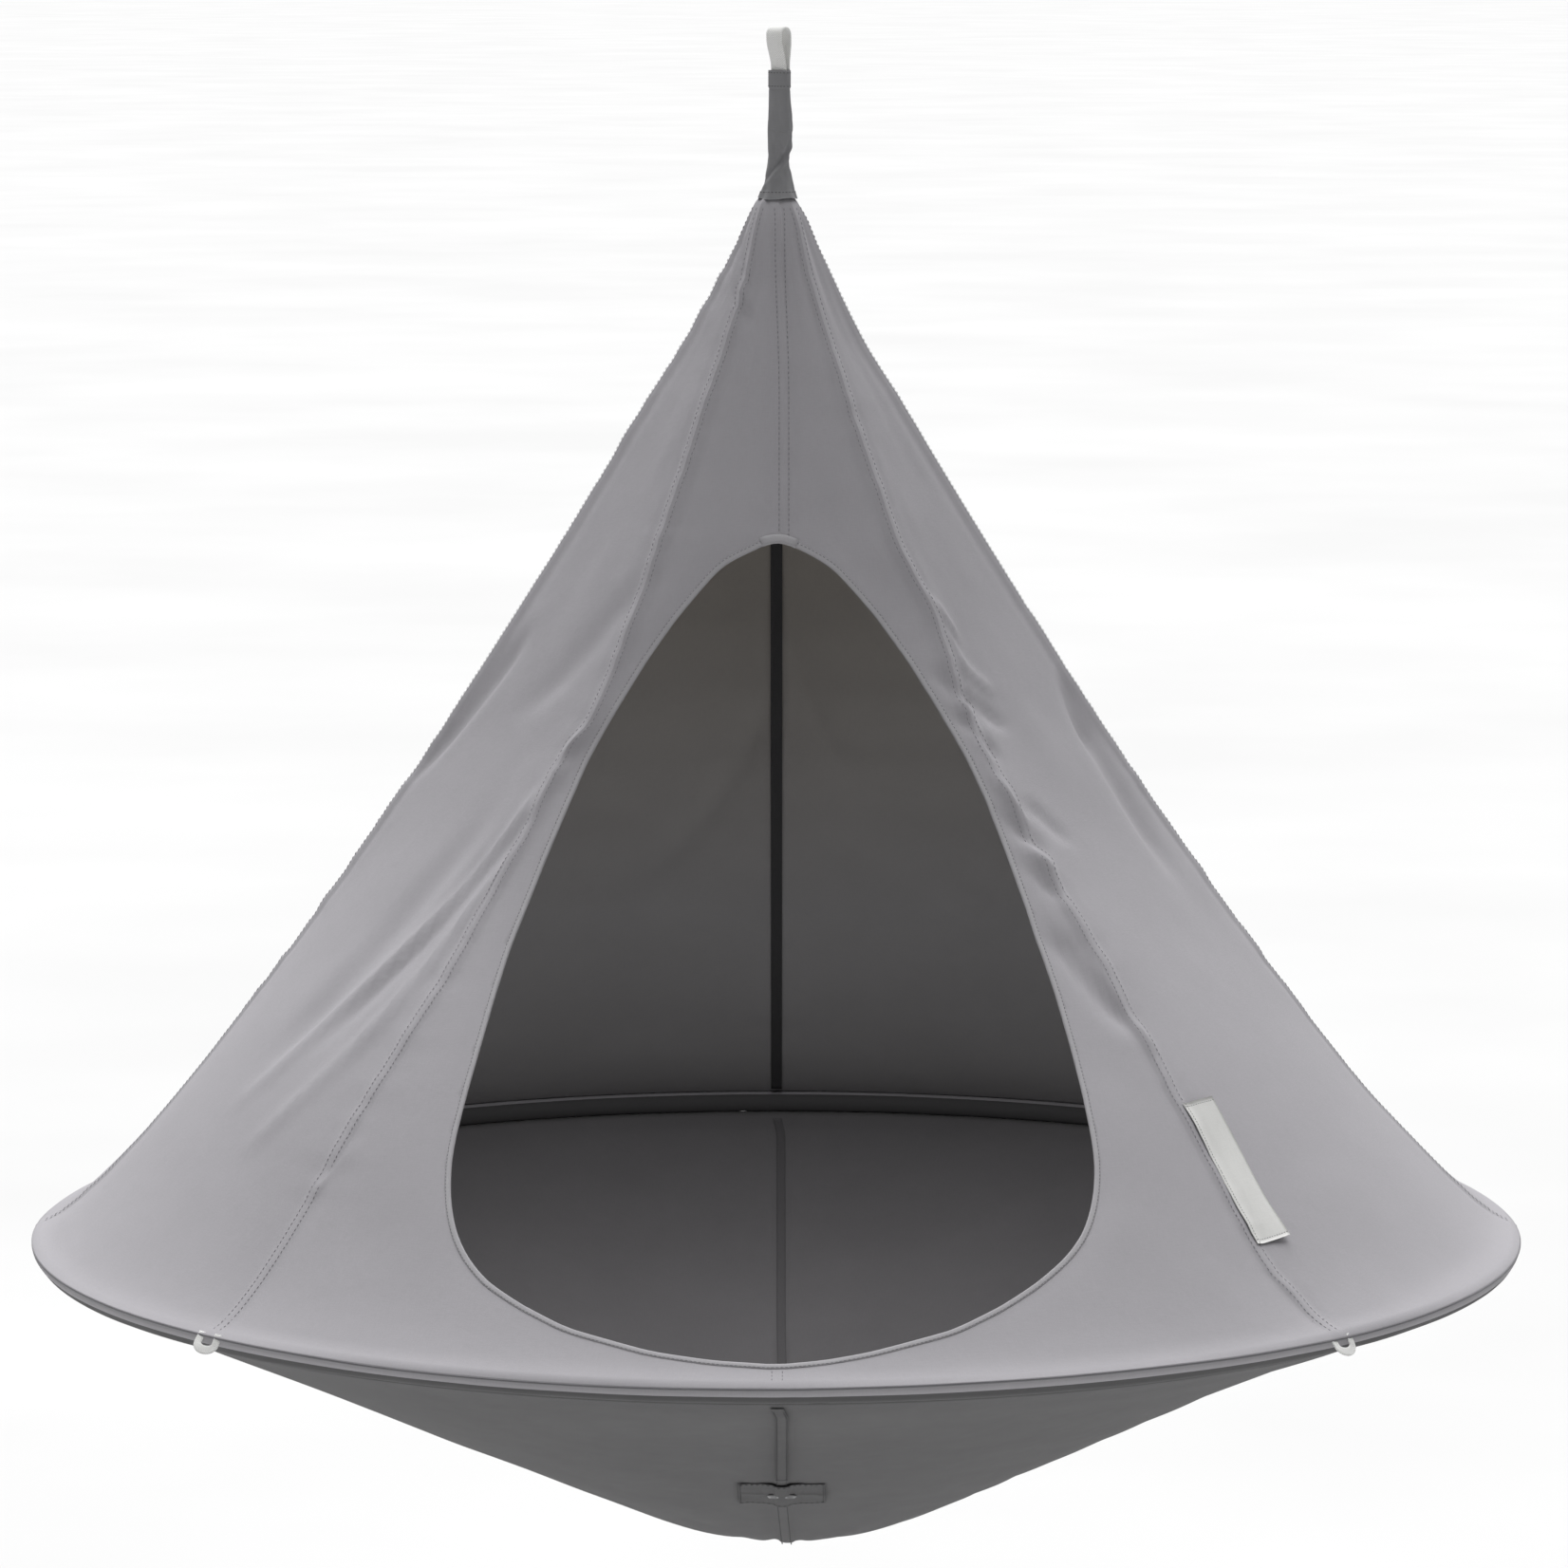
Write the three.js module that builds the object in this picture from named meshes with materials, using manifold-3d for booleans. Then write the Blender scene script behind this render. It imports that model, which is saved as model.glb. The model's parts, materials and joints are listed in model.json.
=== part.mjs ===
// A hanging tent: a cloth cone with a door, held open by a sectional aluminium ring, with a cloth
// bowl for its floor. It hangs from one webbing loop. Units are millimetres and +Z is up.
// The origin is the inner crown of the hanging loop. The door faces -Y and +X is to its right.
// Heights below are measured from the ring's plane, and the whole group is lowered at the end.
import * as THREE from "three";
import { mergeVertices } from "three/addons/utils/BufferGeometryUtils.js";
import Module from "manifold-3d";

const wasm = await Module();
wasm.setup();

// ---- driving dimensions ----
const GAP = 0.3; // between pieces that touch
const CLOTH = 2.5; // thickness of the stiff stand-in for each cloth panel
const HANG_HEIGHT = 1212; // the loop's inner crown over the ring's plane

const RING_RADIUS = 739; // to the tube's centreline
const RING_DROP = 3.8; // from the ring's plane down to the centreline
const RING_STEPS = 64; // facets in a full turn of every round piece at the ring
const RING_SIDES = 8; // facets round the section of the tube and of its sleeve
const TUBE_RADIUS = 10;
const TUBE_WALL = 1.6;
const SPIGOT_WALL = 1.4;
const SPIGOT_STEPS = 1; // ring facets that a spigot reaches into each tube
const SLEEVE_INNER = 10.4;
const SLEEVE_OUTER = 11.2;

const NECK_TOP = 1168; // mouth of the neck sleeve
const SIDE_PIVOT = 1171.5; // where the neck bends sideways
const FRONT_PIVOT = 1134; // where the neck bends forwards and back
const TWIST_HEIGHT = 1099; // where the neck twists
const BEND_CLEARANCE = 3.3; // cut back from each bending place
const NECK_WIDTH = 24;
const NECK_DEPTH = 13;
const NECK_TURN = THREE.MathUtils.degToRad(-41); // the flat neck and the loop face the front left
const HEM_HEIGHT = 18;
const CANOPY_TOP = 1047;

const LOOP_WIDTH = 20; // the webbing's width
const WEBBING = 2.5; // its thickness
const LOOP_RADIUS = 6; // inside the crown

const DOOR_TOP = 706;
const DOOR_BOTTOM = 17;
const DOOR_WIDEST = { height: 160, half: 303 };
const DOOR_STEPS = 26; // straight lengths in each half of the outline
const DOOR_JOIN_HALF = 19; // half the length of the overlap in the binding
const BINDING_RADIUS = 2.5;
const BINDING_CLEARANCE = 1.2;

const BOWL_DEPTH = 318;
const BOWL_SLOPE = 0.456;
const BOWL_TIP_RADIUS = 150; // where the straight side turns into the rounded tip

const ROWS = 12; // facets from the neck to the ring in every sheet of the canopy
const STRAP_WIDTH = 12;
const STRAP_THICKNESS = 1.5;
const FACET_CLEARANCE = 2.7; // between two faceted sheets that follow one curve

// The seam radius falls from the ring's to the neck's along this curve (radius, height).
const PROFILE = new THREE.CubicBezierCurve(
  new THREE.Vector2(17.7, CANOPY_TOP),
  new THREE.Vector2(174.5, 727.8),
  new THREE.Vector2(635.5, 37),
  new THREE.Vector2(746.4, 8.2),
);

// Each seam stands in from the profile by its own share, which fades out between these heights.
const SEAMS = [
  { azimuth: 0, share: 0.62, from: 0, to: 620 },
  { azimuth: 45, share: 0.8, from: 150, to: 620 },
  { azimuth: 90, share: 1, from: 0, to: 620 },
  { azimuth: 135, share: 0.93, from: 100, to: 620 },
  { azimuth: 180, share: 0.95, from: 100, to: 620 },
];
const ROUND_NECK_FROM = 960; // above this the canopy turns round again
const FLATTEST = 0.85; // how flat a panel gets between its seams high up

const FINISHES = {
  canopy: { color: 0xa3a2a8, roughness: 0.9, metalness: 0 },
  floor: { color: 0x5c5c5c, roughness: 0.95, metalness: 0 },
  neck: { color: 0x5e5e60, roughness: 0.9, metalness: 0 },
  webbing: { color: 0xd8d8d6, roughness: 0.85, metalness: 0 },
  strap: { color: 0x2b2b2d, roughness: 0.9, metalness: 0 },
  binding: { color: 0xb0afb4, roughness: 0.85, metalness: 0 },
  label: { color: 0xdcdcda, roughness: 0.8, metalness: 0 },
  aluminium: { color: 0xb9bcc0, roughness: 0.35, metalness: 1 },
  steel: { color: 0x8f9296, roughness: 0.3, metalness: 1 },
};

const { degToRad, radToDeg, smoothstep, lerp } = THREE.MathUtils;

// ---- the group, and how a piece joins it ----
const tent = new THREE.Group();
const body = new THREE.Group();
body.position.z = -HANG_HEIGHT;
tent.add(body);

function addPiece(name, geometry, finish) {
  const mesh = new THREE.Mesh(geometry, new THREE.MeshStandardMaterial(FINISHES[finish]));
  mesh.name = name;
  body.add(mesh);
  return mesh;
}

// ---- cutting ----
function solidOf(geometry) {
  const bare = new THREE.BufferGeometry();
  const whole = geometry.index ? geometry.toNonIndexed() : geometry;
  bare.setAttribute("position", whole.getAttribute("position"));
  const merged = mergeVertices(bare, 1e-3);
  return new wasm.Manifold(
    new wasm.Mesh({
      numProp: 3,
      vertProperties: merged.attributes.position.array,
      triVerts: new Uint32Array(merged.index.array),
    }),
  );
}

function geometryOf(solid) {
  const mesh = solid.getMesh();
  const geometry = new THREE.BufferGeometry();
  geometry.setAttribute("position", new THREE.BufferAttribute(mesh.vertProperties, 3));
  geometry.setIndex(new THREE.BufferAttribute(mesh.triVerts, 1));
  geometry.computeVertexNormals();
  return geometry;
}

function cutAway(geometry, ...tools) {
  let solid = solidOf(geometry);
  for (const tool of tools) {
    solid = solid.subtract(solidOf(tool));
  }
  return geometryOf(solid);
}

function keepInside(geometry, tool) {
  return geometryOf(solidOf(geometry).intersect(solidOf(tool)));
}

// ---- general shapes ----

// Whole steps from 0 to 1.
function evenSteps(count) {
  return Array.from({ length: count + 1 }, (_, n) => n / count);
}

// A closed sheet between two faces, on a grid of values us and vs: point(u, v, side) gives the
// outer face for side 0 and the inner one for side 1.
function sheet(point, us, vs) {
  const positions = [];
  const index = [];
  const uSteps = us.length - 1;
  const vSteps = vs.length - 1;
  const at = (u, v, side) => (side * (uSteps + 1) + u) * (vSteps + 1) + v;
  for (const side of [0, 1]) {
    for (const u of us) {
      for (const v of vs) {
        positions.push(...point(u, v, side));
      }
    }
  }
  const quad = (a, b, c, d) => index.push(a, b, c, a, c, d);
  for (let u = 0; u < uSteps; u++) {
    for (let v = 0; v < vSteps; v++) {
      quad(at(u, v, 0), at(u, v + 1, 0), at(u + 1, v + 1, 0), at(u + 1, v, 0));
      quad(at(u, v, 1), at(u + 1, v, 1), at(u + 1, v + 1, 1), at(u, v + 1, 1));
    }
  }
  for (let v = 0; v < vSteps; v++) {
    quad(at(0, v, 0), at(0, v, 1), at(0, v + 1, 1), at(0, v + 1, 0));
    quad(at(uSteps, v, 0), at(uSteps, v + 1, 0), at(uSteps, v + 1, 1), at(uSteps, v, 1));
  }
  for (let u = 0; u < uSteps; u++) {
    quad(at(u, 0, 0), at(u + 1, 0, 0), at(u + 1, 0, 1), at(u, 0, 1));
    quad(at(u, vSteps, 0), at(u, vSteps, 1), at(u + 1, vSteps, 1), at(u + 1, vSteps, 0));
  }
  const geometry = new THREE.BufferGeometry();
  geometry.setAttribute("position", new THREE.Float32BufferAttribute(positions, 3));
  geometry.setIndex(index);
  geometry.computeVertexNormals();
  return geometry;
}

// A horizontal circular arc at the ring's centreline, between two azimuths in degrees.
class RingArc extends THREE.Curve {
  constructor(from, to) {
    super();
    this.from = from;
    this.to = to;
  }

  getPoint(t, target = new THREE.Vector3()) {
    const azimuth = degToRad(lerp(this.from, this.to, t));
    const [out, ahead] = [RING_RADIUS * Math.sin(azimuth), -RING_RADIUS * Math.cos(azimuth)];
    return target.set(out, ahead, -RING_DROP);
  }
}

function circle(radius) {
  return new THREE.Shape().absarc(0, 0, radius, 0, 2 * Math.PI, false);
}

function ringHose(outer, inner, from, to) {
  const section = circle(outer);
  section.holes.push(new THREE.Path().absarc(0, 0, inner, 0, 2 * Math.PI, true));
  const steps = Math.round((RING_STEPS * (to - from)) / 360);
  return new THREE.ExtrudeGeometry(section, {
    steps,
    curveSegments: RING_SIDES / 2,
    extrudePath: new RingArc(from, to),
  });
}

function upright(radiusAndHeight, segments) {
  const profile = radiusAndHeight.map(([radius, height]) => new THREE.Vector2(radius, height));
  return new THREE.LatheGeometry(profile, segments).rotateX(Math.PI / 2);
}

function block(width, depth, height, x, y, z) {
  return new THREE.BoxGeometry(width, depth, height).translate(x, y, z);
}

// A flat-sided tube standing on end, from one height to another.
function flatTube(width, depth, wall, bottom, top) {
  const outline = (w, d) => [
    new THREE.Vector2(w / 2, -d / 4),
    new THREE.Vector2(w / 2, d / 4),
    new THREE.Vector2(w / 2 - d / 4, d / 2),
    new THREE.Vector2(d / 4 - w / 2, d / 2),
    new THREE.Vector2(-w / 2, d / 4),
    new THREE.Vector2(-w / 2, -d / 4),
    new THREE.Vector2(d / 4 - w / 2, -d / 2),
    new THREE.Vector2(w / 2 - d / 4, -d / 2),
  ];
  const section = new THREE.Shape(outline(width, depth));
  section.holes.push(new THREE.Path(outline(width - 2 * wall, depth - 2 * wall)));
  const options = { depth: top - bottom, bevelEnabled: false };
  return new THREE.ExtrudeGeometry(section, options).translate(0, 0, bottom).rotateZ(NECK_TURN);
}

// ---- the canopy's surface ----

function seamRadius(seam, radius, height) {
  const flattening = smoothstep(height, seam.from, seam.to);
  const rounding = smoothstep(height, ROUND_NECK_FROM, CANOPY_TOP);
  return radius * (1 - (1 - seam.share) * flattening * (1 - rounding));
}

// Distance from the axis at an azimuth in degrees: a chord between two seams high up, an arc low down.
function canopyRadius(azimuth, radius, height) {
  const turn = Math.min(Math.abs(azimuth), 360 - Math.abs(azimuth));
  const left = SEAMS[Math.min(Math.floor(turn / 45), 3)];
  const right = SEAMS[SEAMS.indexOf(left) + 1];
  const a = seamRadius(left, radius, height);
  const b = seamRadius(right, radius, height);
  const fromLeft = degToRad(turn - left.azimuth);
  const toRight = degToRad(right.azimuth - turn);
  const chord =
    (a * b * Math.sin(fromLeft + toRight)) / (a * Math.sin(fromLeft) + b * Math.sin(toRight));
  const arc = lerp(a, b, fromLeft / (fromLeft + toRight));
  const roundness = 1 - FLATTEST * smoothstep(height, 100, 600);
  return lerp(chord, arc, roundness);
}

// A point on the canopy, `inset` mm inside its outer face. `along` runs from the neck, 0, to the
// ring, 1, and `aside` shifts the point sideways by so many mm.
function canopyPoint(azimuth, along, inset, aside = 0) {
  const { x: radius, y: height } = PROFILE.getPoint(along);
  const fall = PROFILE.getTangent(along);
  const shifted = azimuth + radToDeg(aside / canopyRadius(azimuth, radius, height));
  const reach = canopyRadius(shifted, radius, height) + inset * fall.y;
  const turn = degToRad(shifted);
  return [reach * Math.sin(turn), -reach * Math.cos(turn), height - inset * fall.x];
}

// How far along the profile a height lies.
function alongAt(height) {
  let low = 0;
  let high = 1;
  for (let n = 0; n < 30; n++) {
    const middle = (low + high) / 2;
    if (PROFILE.getPoint(middle).y > height) {
      low = middle;
    } else {
      high = middle;
    }
  }
  return low;
}

// A strip that follows the canopy between two side offsets, two lengths along and two insets.
// It bends at the same rows as the panels.
function canopyStrip(azimuth, sides, [from, to], insets) {
  const rows = evenSteps(ROWS).filter((row) => row > from + 0.01 && row < to - 0.01);
  return sheet(
    (aside, along, side) => canopyPoint(azimuth, along, insets[side], aside),
    [sides[0], (sides[0] + sides[1]) / 2, sides[1]],
    [from, ...rows, to],
  );
}

// ---- the door ----

// Half of the door's outline, from its top edge's corner down to the middle of its sill.
function doorHalf(side) {
  const path = new THREE.CurvePath();
  const at = (half, height) => new THREE.Vector2(side * half, height);
  const widest = at(DOOR_WIDEST.half, DOOR_WIDEST.height);
  path.add(new THREE.CubicBezierCurve(at(30, DOOR_TOP), at(130, 640), at(303, 280), widest));
  path.add(
    new THREE.CubicBezierCurve(widest, at(303, 85), at(170, DOOR_BOTTOM), at(0, DOOR_BOTTOM)),
  );
  return path;
}

// Points round the door, starting at the top right, moved outwards by so many mm.
function doorOutline(outwards) {
  const right = doorHalf(1).getSpacedPoints(DOOR_STEPS);
  const left = doorHalf(-1).getSpacedPoints(DOOR_STEPS).reverse().slice(1);
  const points = [...right, ...left];
  return points.map((point, n) => {
    const before = points[(n + points.length - 1) % points.length];
    const after = points[(n + 1) % points.length];
    const away = new THREE.Vector2(before.y - after.y, after.x - before.x).normalize();
    return point.clone().addScaledVector(away, outwards);
  });
}

const doorCutter = new THREE.ExtrudeGeometry(
  new THREE.Shape(doorOutline(BINDING_RADIUS + BINDING_CLEARANCE)),
  { depth: 780, bevelEnabled: false },
)
  .rotateX(Math.PI / 2)
  .translate(0, -20, 0);

// The point of the canopy's cloth, half way through it, that lies in front of (x, height).
function frontPoint(x, height) {
  const along = alongAt(height + CLOTH / 2);
  const radius = PROFILE.getPoint(along).x;
  let azimuth = 0;
  for (let n = 0; n < 40; n++) {
    azimuth = radToDeg(Math.asin(x / canopyRadius(azimuth, radius, height)));
  }
  return new THREE.Vector3(...canopyPoint(azimuth, along, CLOTH / 2));
}

// ---- canopy panels ----
const PANEL_COLUMNS = 8;
const PANELS = [
  ["canopy_panel_front_right", 0],
  ["canopy_panel_right_front", 45],
  ["canopy_panel_right_back", 90],
  ["canopy_panel_back_right", 135],
  ["canopy_panel_back_left", -180],
  ["canopy_panel_left_back", -135],
  ["canopy_panel_left_front", -90],
  ["canopy_panel_front_left", -45],
];

for (const [name, from] of PANELS) {
  const shape = sheet(
    (u, v, side) => {
      const aside = u === 0 ? GAP / 2 : u === 1 ? -GAP / 2 : 0;
      return canopyPoint(lerp(from, from + 45, u), v, side * CLOTH, aside);
    },
    evenSteps(PANEL_COLUMNS),
    evenSteps(ROWS),
  );
  const hasDoor = name.startsWith("canopy_panel_front");
  addPiece(name, hasDoor ? cutAway(shape, doorCutter) : shape, "canopy");
}

// ---- seam straps inside the canopy ----
const STRAPS = [
  ["seam_strap_front_right", 45],
  ["seam_strap_right", 90],
  ["seam_strap_back_right", 135],
  ["seam_strap_back", 180],
  ["seam_strap_back_left", -135],
  ["seam_strap_left", -90],
  ["seam_strap_front_left", -45],
];
const strapInsets = [CLOTH + FACET_CLEARANCE, CLOTH + FACET_CLEARANCE + STRAP_THICKNESS];
const strapSides = [-STRAP_WIDTH / 2, STRAP_WIDTH / 2];
const STRAP_FROM = 0.03;

for (const [name, azimuth] of STRAPS) {
  const strip = canopyStrip(azimuth, strapSides, [STRAP_FROM, 0.94], strapInsets);
  addPiece(name, strip, "strap");
}

// The door side is the most sharply curved, so its tape lies a little deeper.
const tapeInsets = strapInsets.map((inset) => inset + 2);
const frontTape = canopyStrip(0, strapSides, [STRAP_FROM, alongAt(DOOR_TOP + 10)], tapeInsets);
addPiece("front_seam_tape", frontTape, "canopy");

// ---- door binding ----
const bindingPath = new THREE.CatmullRomCurve3(
  [
    new THREE.Vector2(DOOR_JOIN_HALF + GAP, DOOR_TOP),
    ...doorOutline(0),
    new THREE.Vector2(-DOOR_JOIN_HALF - GAP, DOOR_TOP),
  ].map((point) => frontPoint(point.x, point.y)),
);
const binding = new THREE.ExtrudeGeometry(circle(BINDING_RADIUS), {
  steps: 2 * DOOR_STEPS + 2,
  curveSegments: 3,
  extrudePath: bindingPath,
});
addPiece("door_binding", binding, "binding");

const joinMiddle = frontPoint(0, DOOR_TOP);
const joinTilt = Math.atan2(-frontPoint(0, 720).y + joinMiddle.y, 14);
const join = addPiece(
  "door_binding_join",
  new THREE.BoxGeometry(2 * DOOR_JOIN_HALF - 2 * GAP, 4.4, 4.4),
  "binding",
);
join.position.copy(joinMiddle);
join.rotation.x = joinTilt;

// ---- label, sewn along the front right seam by its long edge ----
const LABEL_WIDTH = 42;
const LABEL_TOP = 197;
const LABEL_BOTTOM = 79;
const labelAlongs = [alongAt(LABEL_TOP), alongAt(LABEL_BOTTOM)];
const labelInsets = [-FACET_CLEARANCE - 1, -FACET_CLEARANCE];
const label = canopyStrip(45, [1, LABEL_WIDTH + 1], labelAlongs, labelInsets);
addPiece("label", label, "label");

// ---- ring: four tubes, joined by spigots that snap buttons lock ----
const QUARTERS = [
  ["front_right", 0],
  ["back_right", 90],
  ["back_left", 180],
  ["front_left", 270],
];
const RING_JOINTS = [
  ["front", 0],
  ["right", 90],
  ["back", 180],
  ["left", 270],
];
const FACET = 360 / RING_STEPS;
const ARC_END = radToDeg(GAP / 2 / RING_RADIUS); // half the gap between two arcs, as a turn
const BUTTON_AZIMUTH = FACET / 2; // past each joint, in the tube on its far side
const BUTTON_RADIUS = 3.2;
const SPIGOT_OUTER = TUBE_RADIUS - TUBE_WALL - GAP;
const SPIGOT_INNER = SPIGOT_OUTER - SPIGOT_WALL;

// A cylinder that points from the tube's centreline at the ring's centre, between two depths.
function inwardCylinder(radius, near, far, azimuth, topRadius = radius) {
  const chordRadius = RING_RADIUS * Math.cos(degToRad(FACET / 2));
  return new THREE.CylinderGeometry(topRadius, radius, far - near, 12)
    .translate(0, (near + far) / 2 - chordRadius, -RING_DROP)
    .rotateZ(degToRad(azimuth));
}

function joinSolids(...geometries) {
  const solids = geometries.map(solidOf);
  return geometryOf(solids.reduce((whole, solid) => whole.add(solid)));
}

function buttonHole(azimuth) {
  return inwardCylinder(BUTTON_RADIUS + GAP, 3, 14, azimuth);
}

for (const [place, start] of QUARTERS) {
  const bore = TUBE_RADIUS - TUBE_WALL;
  const hose = ringHose(TUBE_RADIUS, bore, start + ARC_END, start + 90 - ARC_END);
  const hole = buttonHole(start + BUTTON_AZIMUTH);
  addPiece(`ring_tube_${place}`, cutAway(hose, hole), "aluminium");
}

for (const [place, azimuth] of RING_JOINTS) {
  const reach = SPIGOT_STEPS * FACET;
  const hose = ringHose(SPIGOT_OUTER, SPIGOT_INNER, azimuth - reach, azimuth + reach);
  const hole = buttonHole(azimuth + BUTTON_AZIMUTH);
  addPiece(`ring_spigot_${place}`, cutAway(hose, hole), "aluminium");
}

// Each button has a foot under the spigot's wall, a head through both walls and a domed tip.
const BUTTON_FOOT_RADIUS = 4;
const BUTTON_TIP_RADIUS = 1.6;
for (const [place, azimuth] of RING_JOINTS) {
  const middle = azimuth + BUTTON_AZIMUTH;
  const foot = inwardCylinder(BUTTON_FOOT_RADIUS, 1.6, 3.8, middle);
  const head = inwardCylinder(BUTTON_RADIUS, 3, 8.4, middle);
  const dome = inwardCylinder(BUTTON_RADIUS, 8.2, 9.1, middle, BUTTON_TIP_RADIUS);
  addPiece(`ring_button_${place}`, joinSolids(foot, head, dome), "steel");
}

// ---- the cloth sleeve round the ring, split at the diagonal seams ----
const SLEEVES = [
  ["front", -45],
  ["right", 45],
  ["back", 135],
  ["left", 225],
];
for (const [place, start] of SLEEVES) {
  const hose = ringHose(SLEEVE_OUTER, SLEEVE_INNER, start + ARC_END, start + 90 - ARC_END);
  addPiece(`ring_sleeve_${place}`, hose, "canopy");
}

// ---- floor: a bowl of two halves with a seam from front to back ----
const BOWL_EDGE = new THREE.Vector2(730, -19);
const tipHeight = BOWL_EDGE.y - BOWL_SLOPE * (BOWL_EDGE.x - BOWL_TIP_RADIUS);
const tipMeet = BOWL_TIP_RADIUS - (BOWL_DEPTH + tipHeight) / BOWL_SLOPE;
const bowlTip = new THREE.QuadraticBezierCurve(
  new THREE.Vector2(BOWL_TIP_RADIUS, tipHeight),
  new THREE.Vector2(tipMeet, -BOWL_DEPTH),
  new THREE.Vector2(0, -BOWL_DEPTH),
);
const bowlUnder = [
  BOWL_EDGE,
  BOWL_EDGE.clone().lerp(bowlTip.v0, 1 / 3),
  BOWL_EDGE.clone().lerp(bowlTip.v0, 2 / 3),
  ...bowlTip.getPoints(3),
];
const bowlProfile = [
  ...bowlUnder.map(({ x, y }) => [x, y]).reverse(),
  ...bowlUnder.map(({ x, y }) => [x, y + CLOTH]),
];
const bowl = upright(bowlProfile, RING_STEPS);

const SIDES = [
  ["left", -1],
  ["right", 1],
];

// ---- drain: a patch under the bowl's front with two eyelets, which the cloth is open over ----
const PATCH_RADIUS = 350; // from the axis to the patch's middle, forwards
const PATCH_WIDTH = 84;
const PATCH_LENGTH = 90;
const PATCH_THICKNESS = 1.2;
const EYELET_SPACING = 16;
const EYELET_OUTER = 6;
const EYELET_HOLE = 3;
const EYELET_HALF_HEIGHT = 1.4;
const PATCH_DROP = 2.4; // from the bowl's underside to the patch's middle, clear of its facets
const bowlTilt = -Math.atan(BOWL_SLOPE);

// Places a flat piece, drawn about its own middle, `below` mm under the bowl's front.
function underBowl(geometry, radius, below) {
  const height = BOWL_EDGE.y - BOWL_SLOPE * (BOWL_EDGE.x - radius);
  return geometry
    .translate(0, 0, -below)
    .rotateX(bowlTilt)
    .translate(0, -radius, height);
}

// A round cutter at one eyelet's place, drawn about the patch's middle.
function eyeletCutter(side, radius) {
  return new THREE.CylinderGeometry(radius, radius, 40, 16)
    .rotateX(Math.PI / 2)
    .translate((side * EYELET_SPACING) / 2, 0, 0);
}

for (const [place, side] of SIDES) {
  const half = block(800, 1700, 800, side * (400 + GAP / 2), 0, -300);
  const hole = underBowl(eyeletCutter(side, EYELET_HOLE), PATCH_RADIUS, 0);
  addPiece(`floor_panel_${place}`, cutAway(keepInside(bowl, half), hole), "floor");
}

const patch = cutAway(
  new THREE.BoxGeometry(PATCH_WIDTH, PATCH_LENGTH, PATCH_THICKNESS),
  ...SIDES.map(([, side]) => eyeletCutter(side, EYELET_OUTER + GAP)),
);
addPiece("drain_patch", underBowl(patch, PATCH_RADIUS, PATCH_DROP), "floor");

for (const [place, side] of SIDES) {
  const section = [
    [EYELET_HOLE, -EYELET_HALF_HEIGHT],
    [EYELET_OUTER, -EYELET_HALF_HEIGHT],
    [EYELET_OUTER, EYELET_HALF_HEIGHT],
    [EYELET_HOLE, EYELET_HALF_HEIGHT],
    [EYELET_HOLE, -EYELET_HALF_HEIGHT],
  ];
  const eyelet = upright(section, 16).translate((side * EYELET_SPACING) / 2, 0, 0);
  addPiece(`drain_eyelet_${place}`, underBowl(eyelet, PATCH_RADIUS, PATCH_DROP), "steel");
}

// The tape under the seam runs from the ring to the patch.
const TAPE_WIDTH = 12;
const TAPE_THICKNESS = 1;
const tapeOuter = BOWL_EDGE.x - 26;
const tapeInner = PATCH_RADIUS + PATCH_LENGTH / 2 + 4;
const tape = new THREE.BoxGeometry(TAPE_WIDTH, tapeOuter - tapeInner, TAPE_THICKNESS);
const tapeMiddle = (tapeOuter + tapeInner) / 2;
addPiece("floor_seam_tape", underBowl(tape, tapeMiddle, GAP + TAPE_THICKNESS / 2), "floor");

// ---- webbing tabs on the ring, at the two front diagonal seams ----
const TAB_WIDTH = 26;
const TAB_REACH = 22;
const TAB_TAPE = 7;
const TAB_TILT = degToRad(40); // below the horizontal

function tabShape() {
  const inner = TAB_WIDTH / 2 - TAB_TAPE;
  const round = TAB_REACH - TAB_WIDTH / 2;
  const outline = new THREE.Shape()
    .moveTo(-TAB_WIDTH / 2, 0)
    .lineTo(TAB_WIDTH / 2, 0)
    .lineTo(TAB_WIDTH / 2, round)
    .absarc(0, round, TAB_WIDTH / 2, 0, Math.PI, false);
  outline.holes.push(
    new THREE.Path()
      .moveTo(-inner, 3)
      .lineTo(inner, 3)
      .lineTo(inner, round)
      .absarc(0, round, inner, 0, Math.PI, false)
      .lineTo(-inner, 3),
  );
  return outline;
}

for (const [place, azimuth] of [
  ["left", -45],
  ["right", 45],
]) {
  // drawn in X and Y with its root at the origin and its reach along -Y
  const tab = new THREE.ExtrudeGeometry(tabShape(), {
    depth: 2,
    bevelEnabled: false,
    curveSegments: 8,
  })
    .translate(0, 0, -1)
    .rotateX(Math.PI)
    .rotateX(TAB_TILT)
    .translate(0, -RING_RADIUS - SLEEVE_OUTER - 1.5, -RING_DROP)
    .rotateZ(degToRad(azimuth));
  addPiece(`ring_tab_${place}`, tab, "webbing");
}

// ---- crown: the sewn gather that the straps end in, and the skirt over it ----
const gather = [
  [0, 1033],
  [14, 1033],
  [8, 1052],
  [7, 1097],
  [0, 1097],
];
addPiece("crown_gather", upright(gather, 16), "strap");

const skirt = [
  [18.6, CANOPY_TOP + GAP],
  [17.4, 1056],
  [11.5, 1084],
  [11.5, 1098],
  [10, 1098],
  [10, 1083],
  [15.9, 1055],
  [17.1, CANOPY_TOP + GAP],
  [18.6, CANOPY_TOP + GAP],
];
addPiece("neck_skirt", upright(skirt, 24), "neck");

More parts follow.
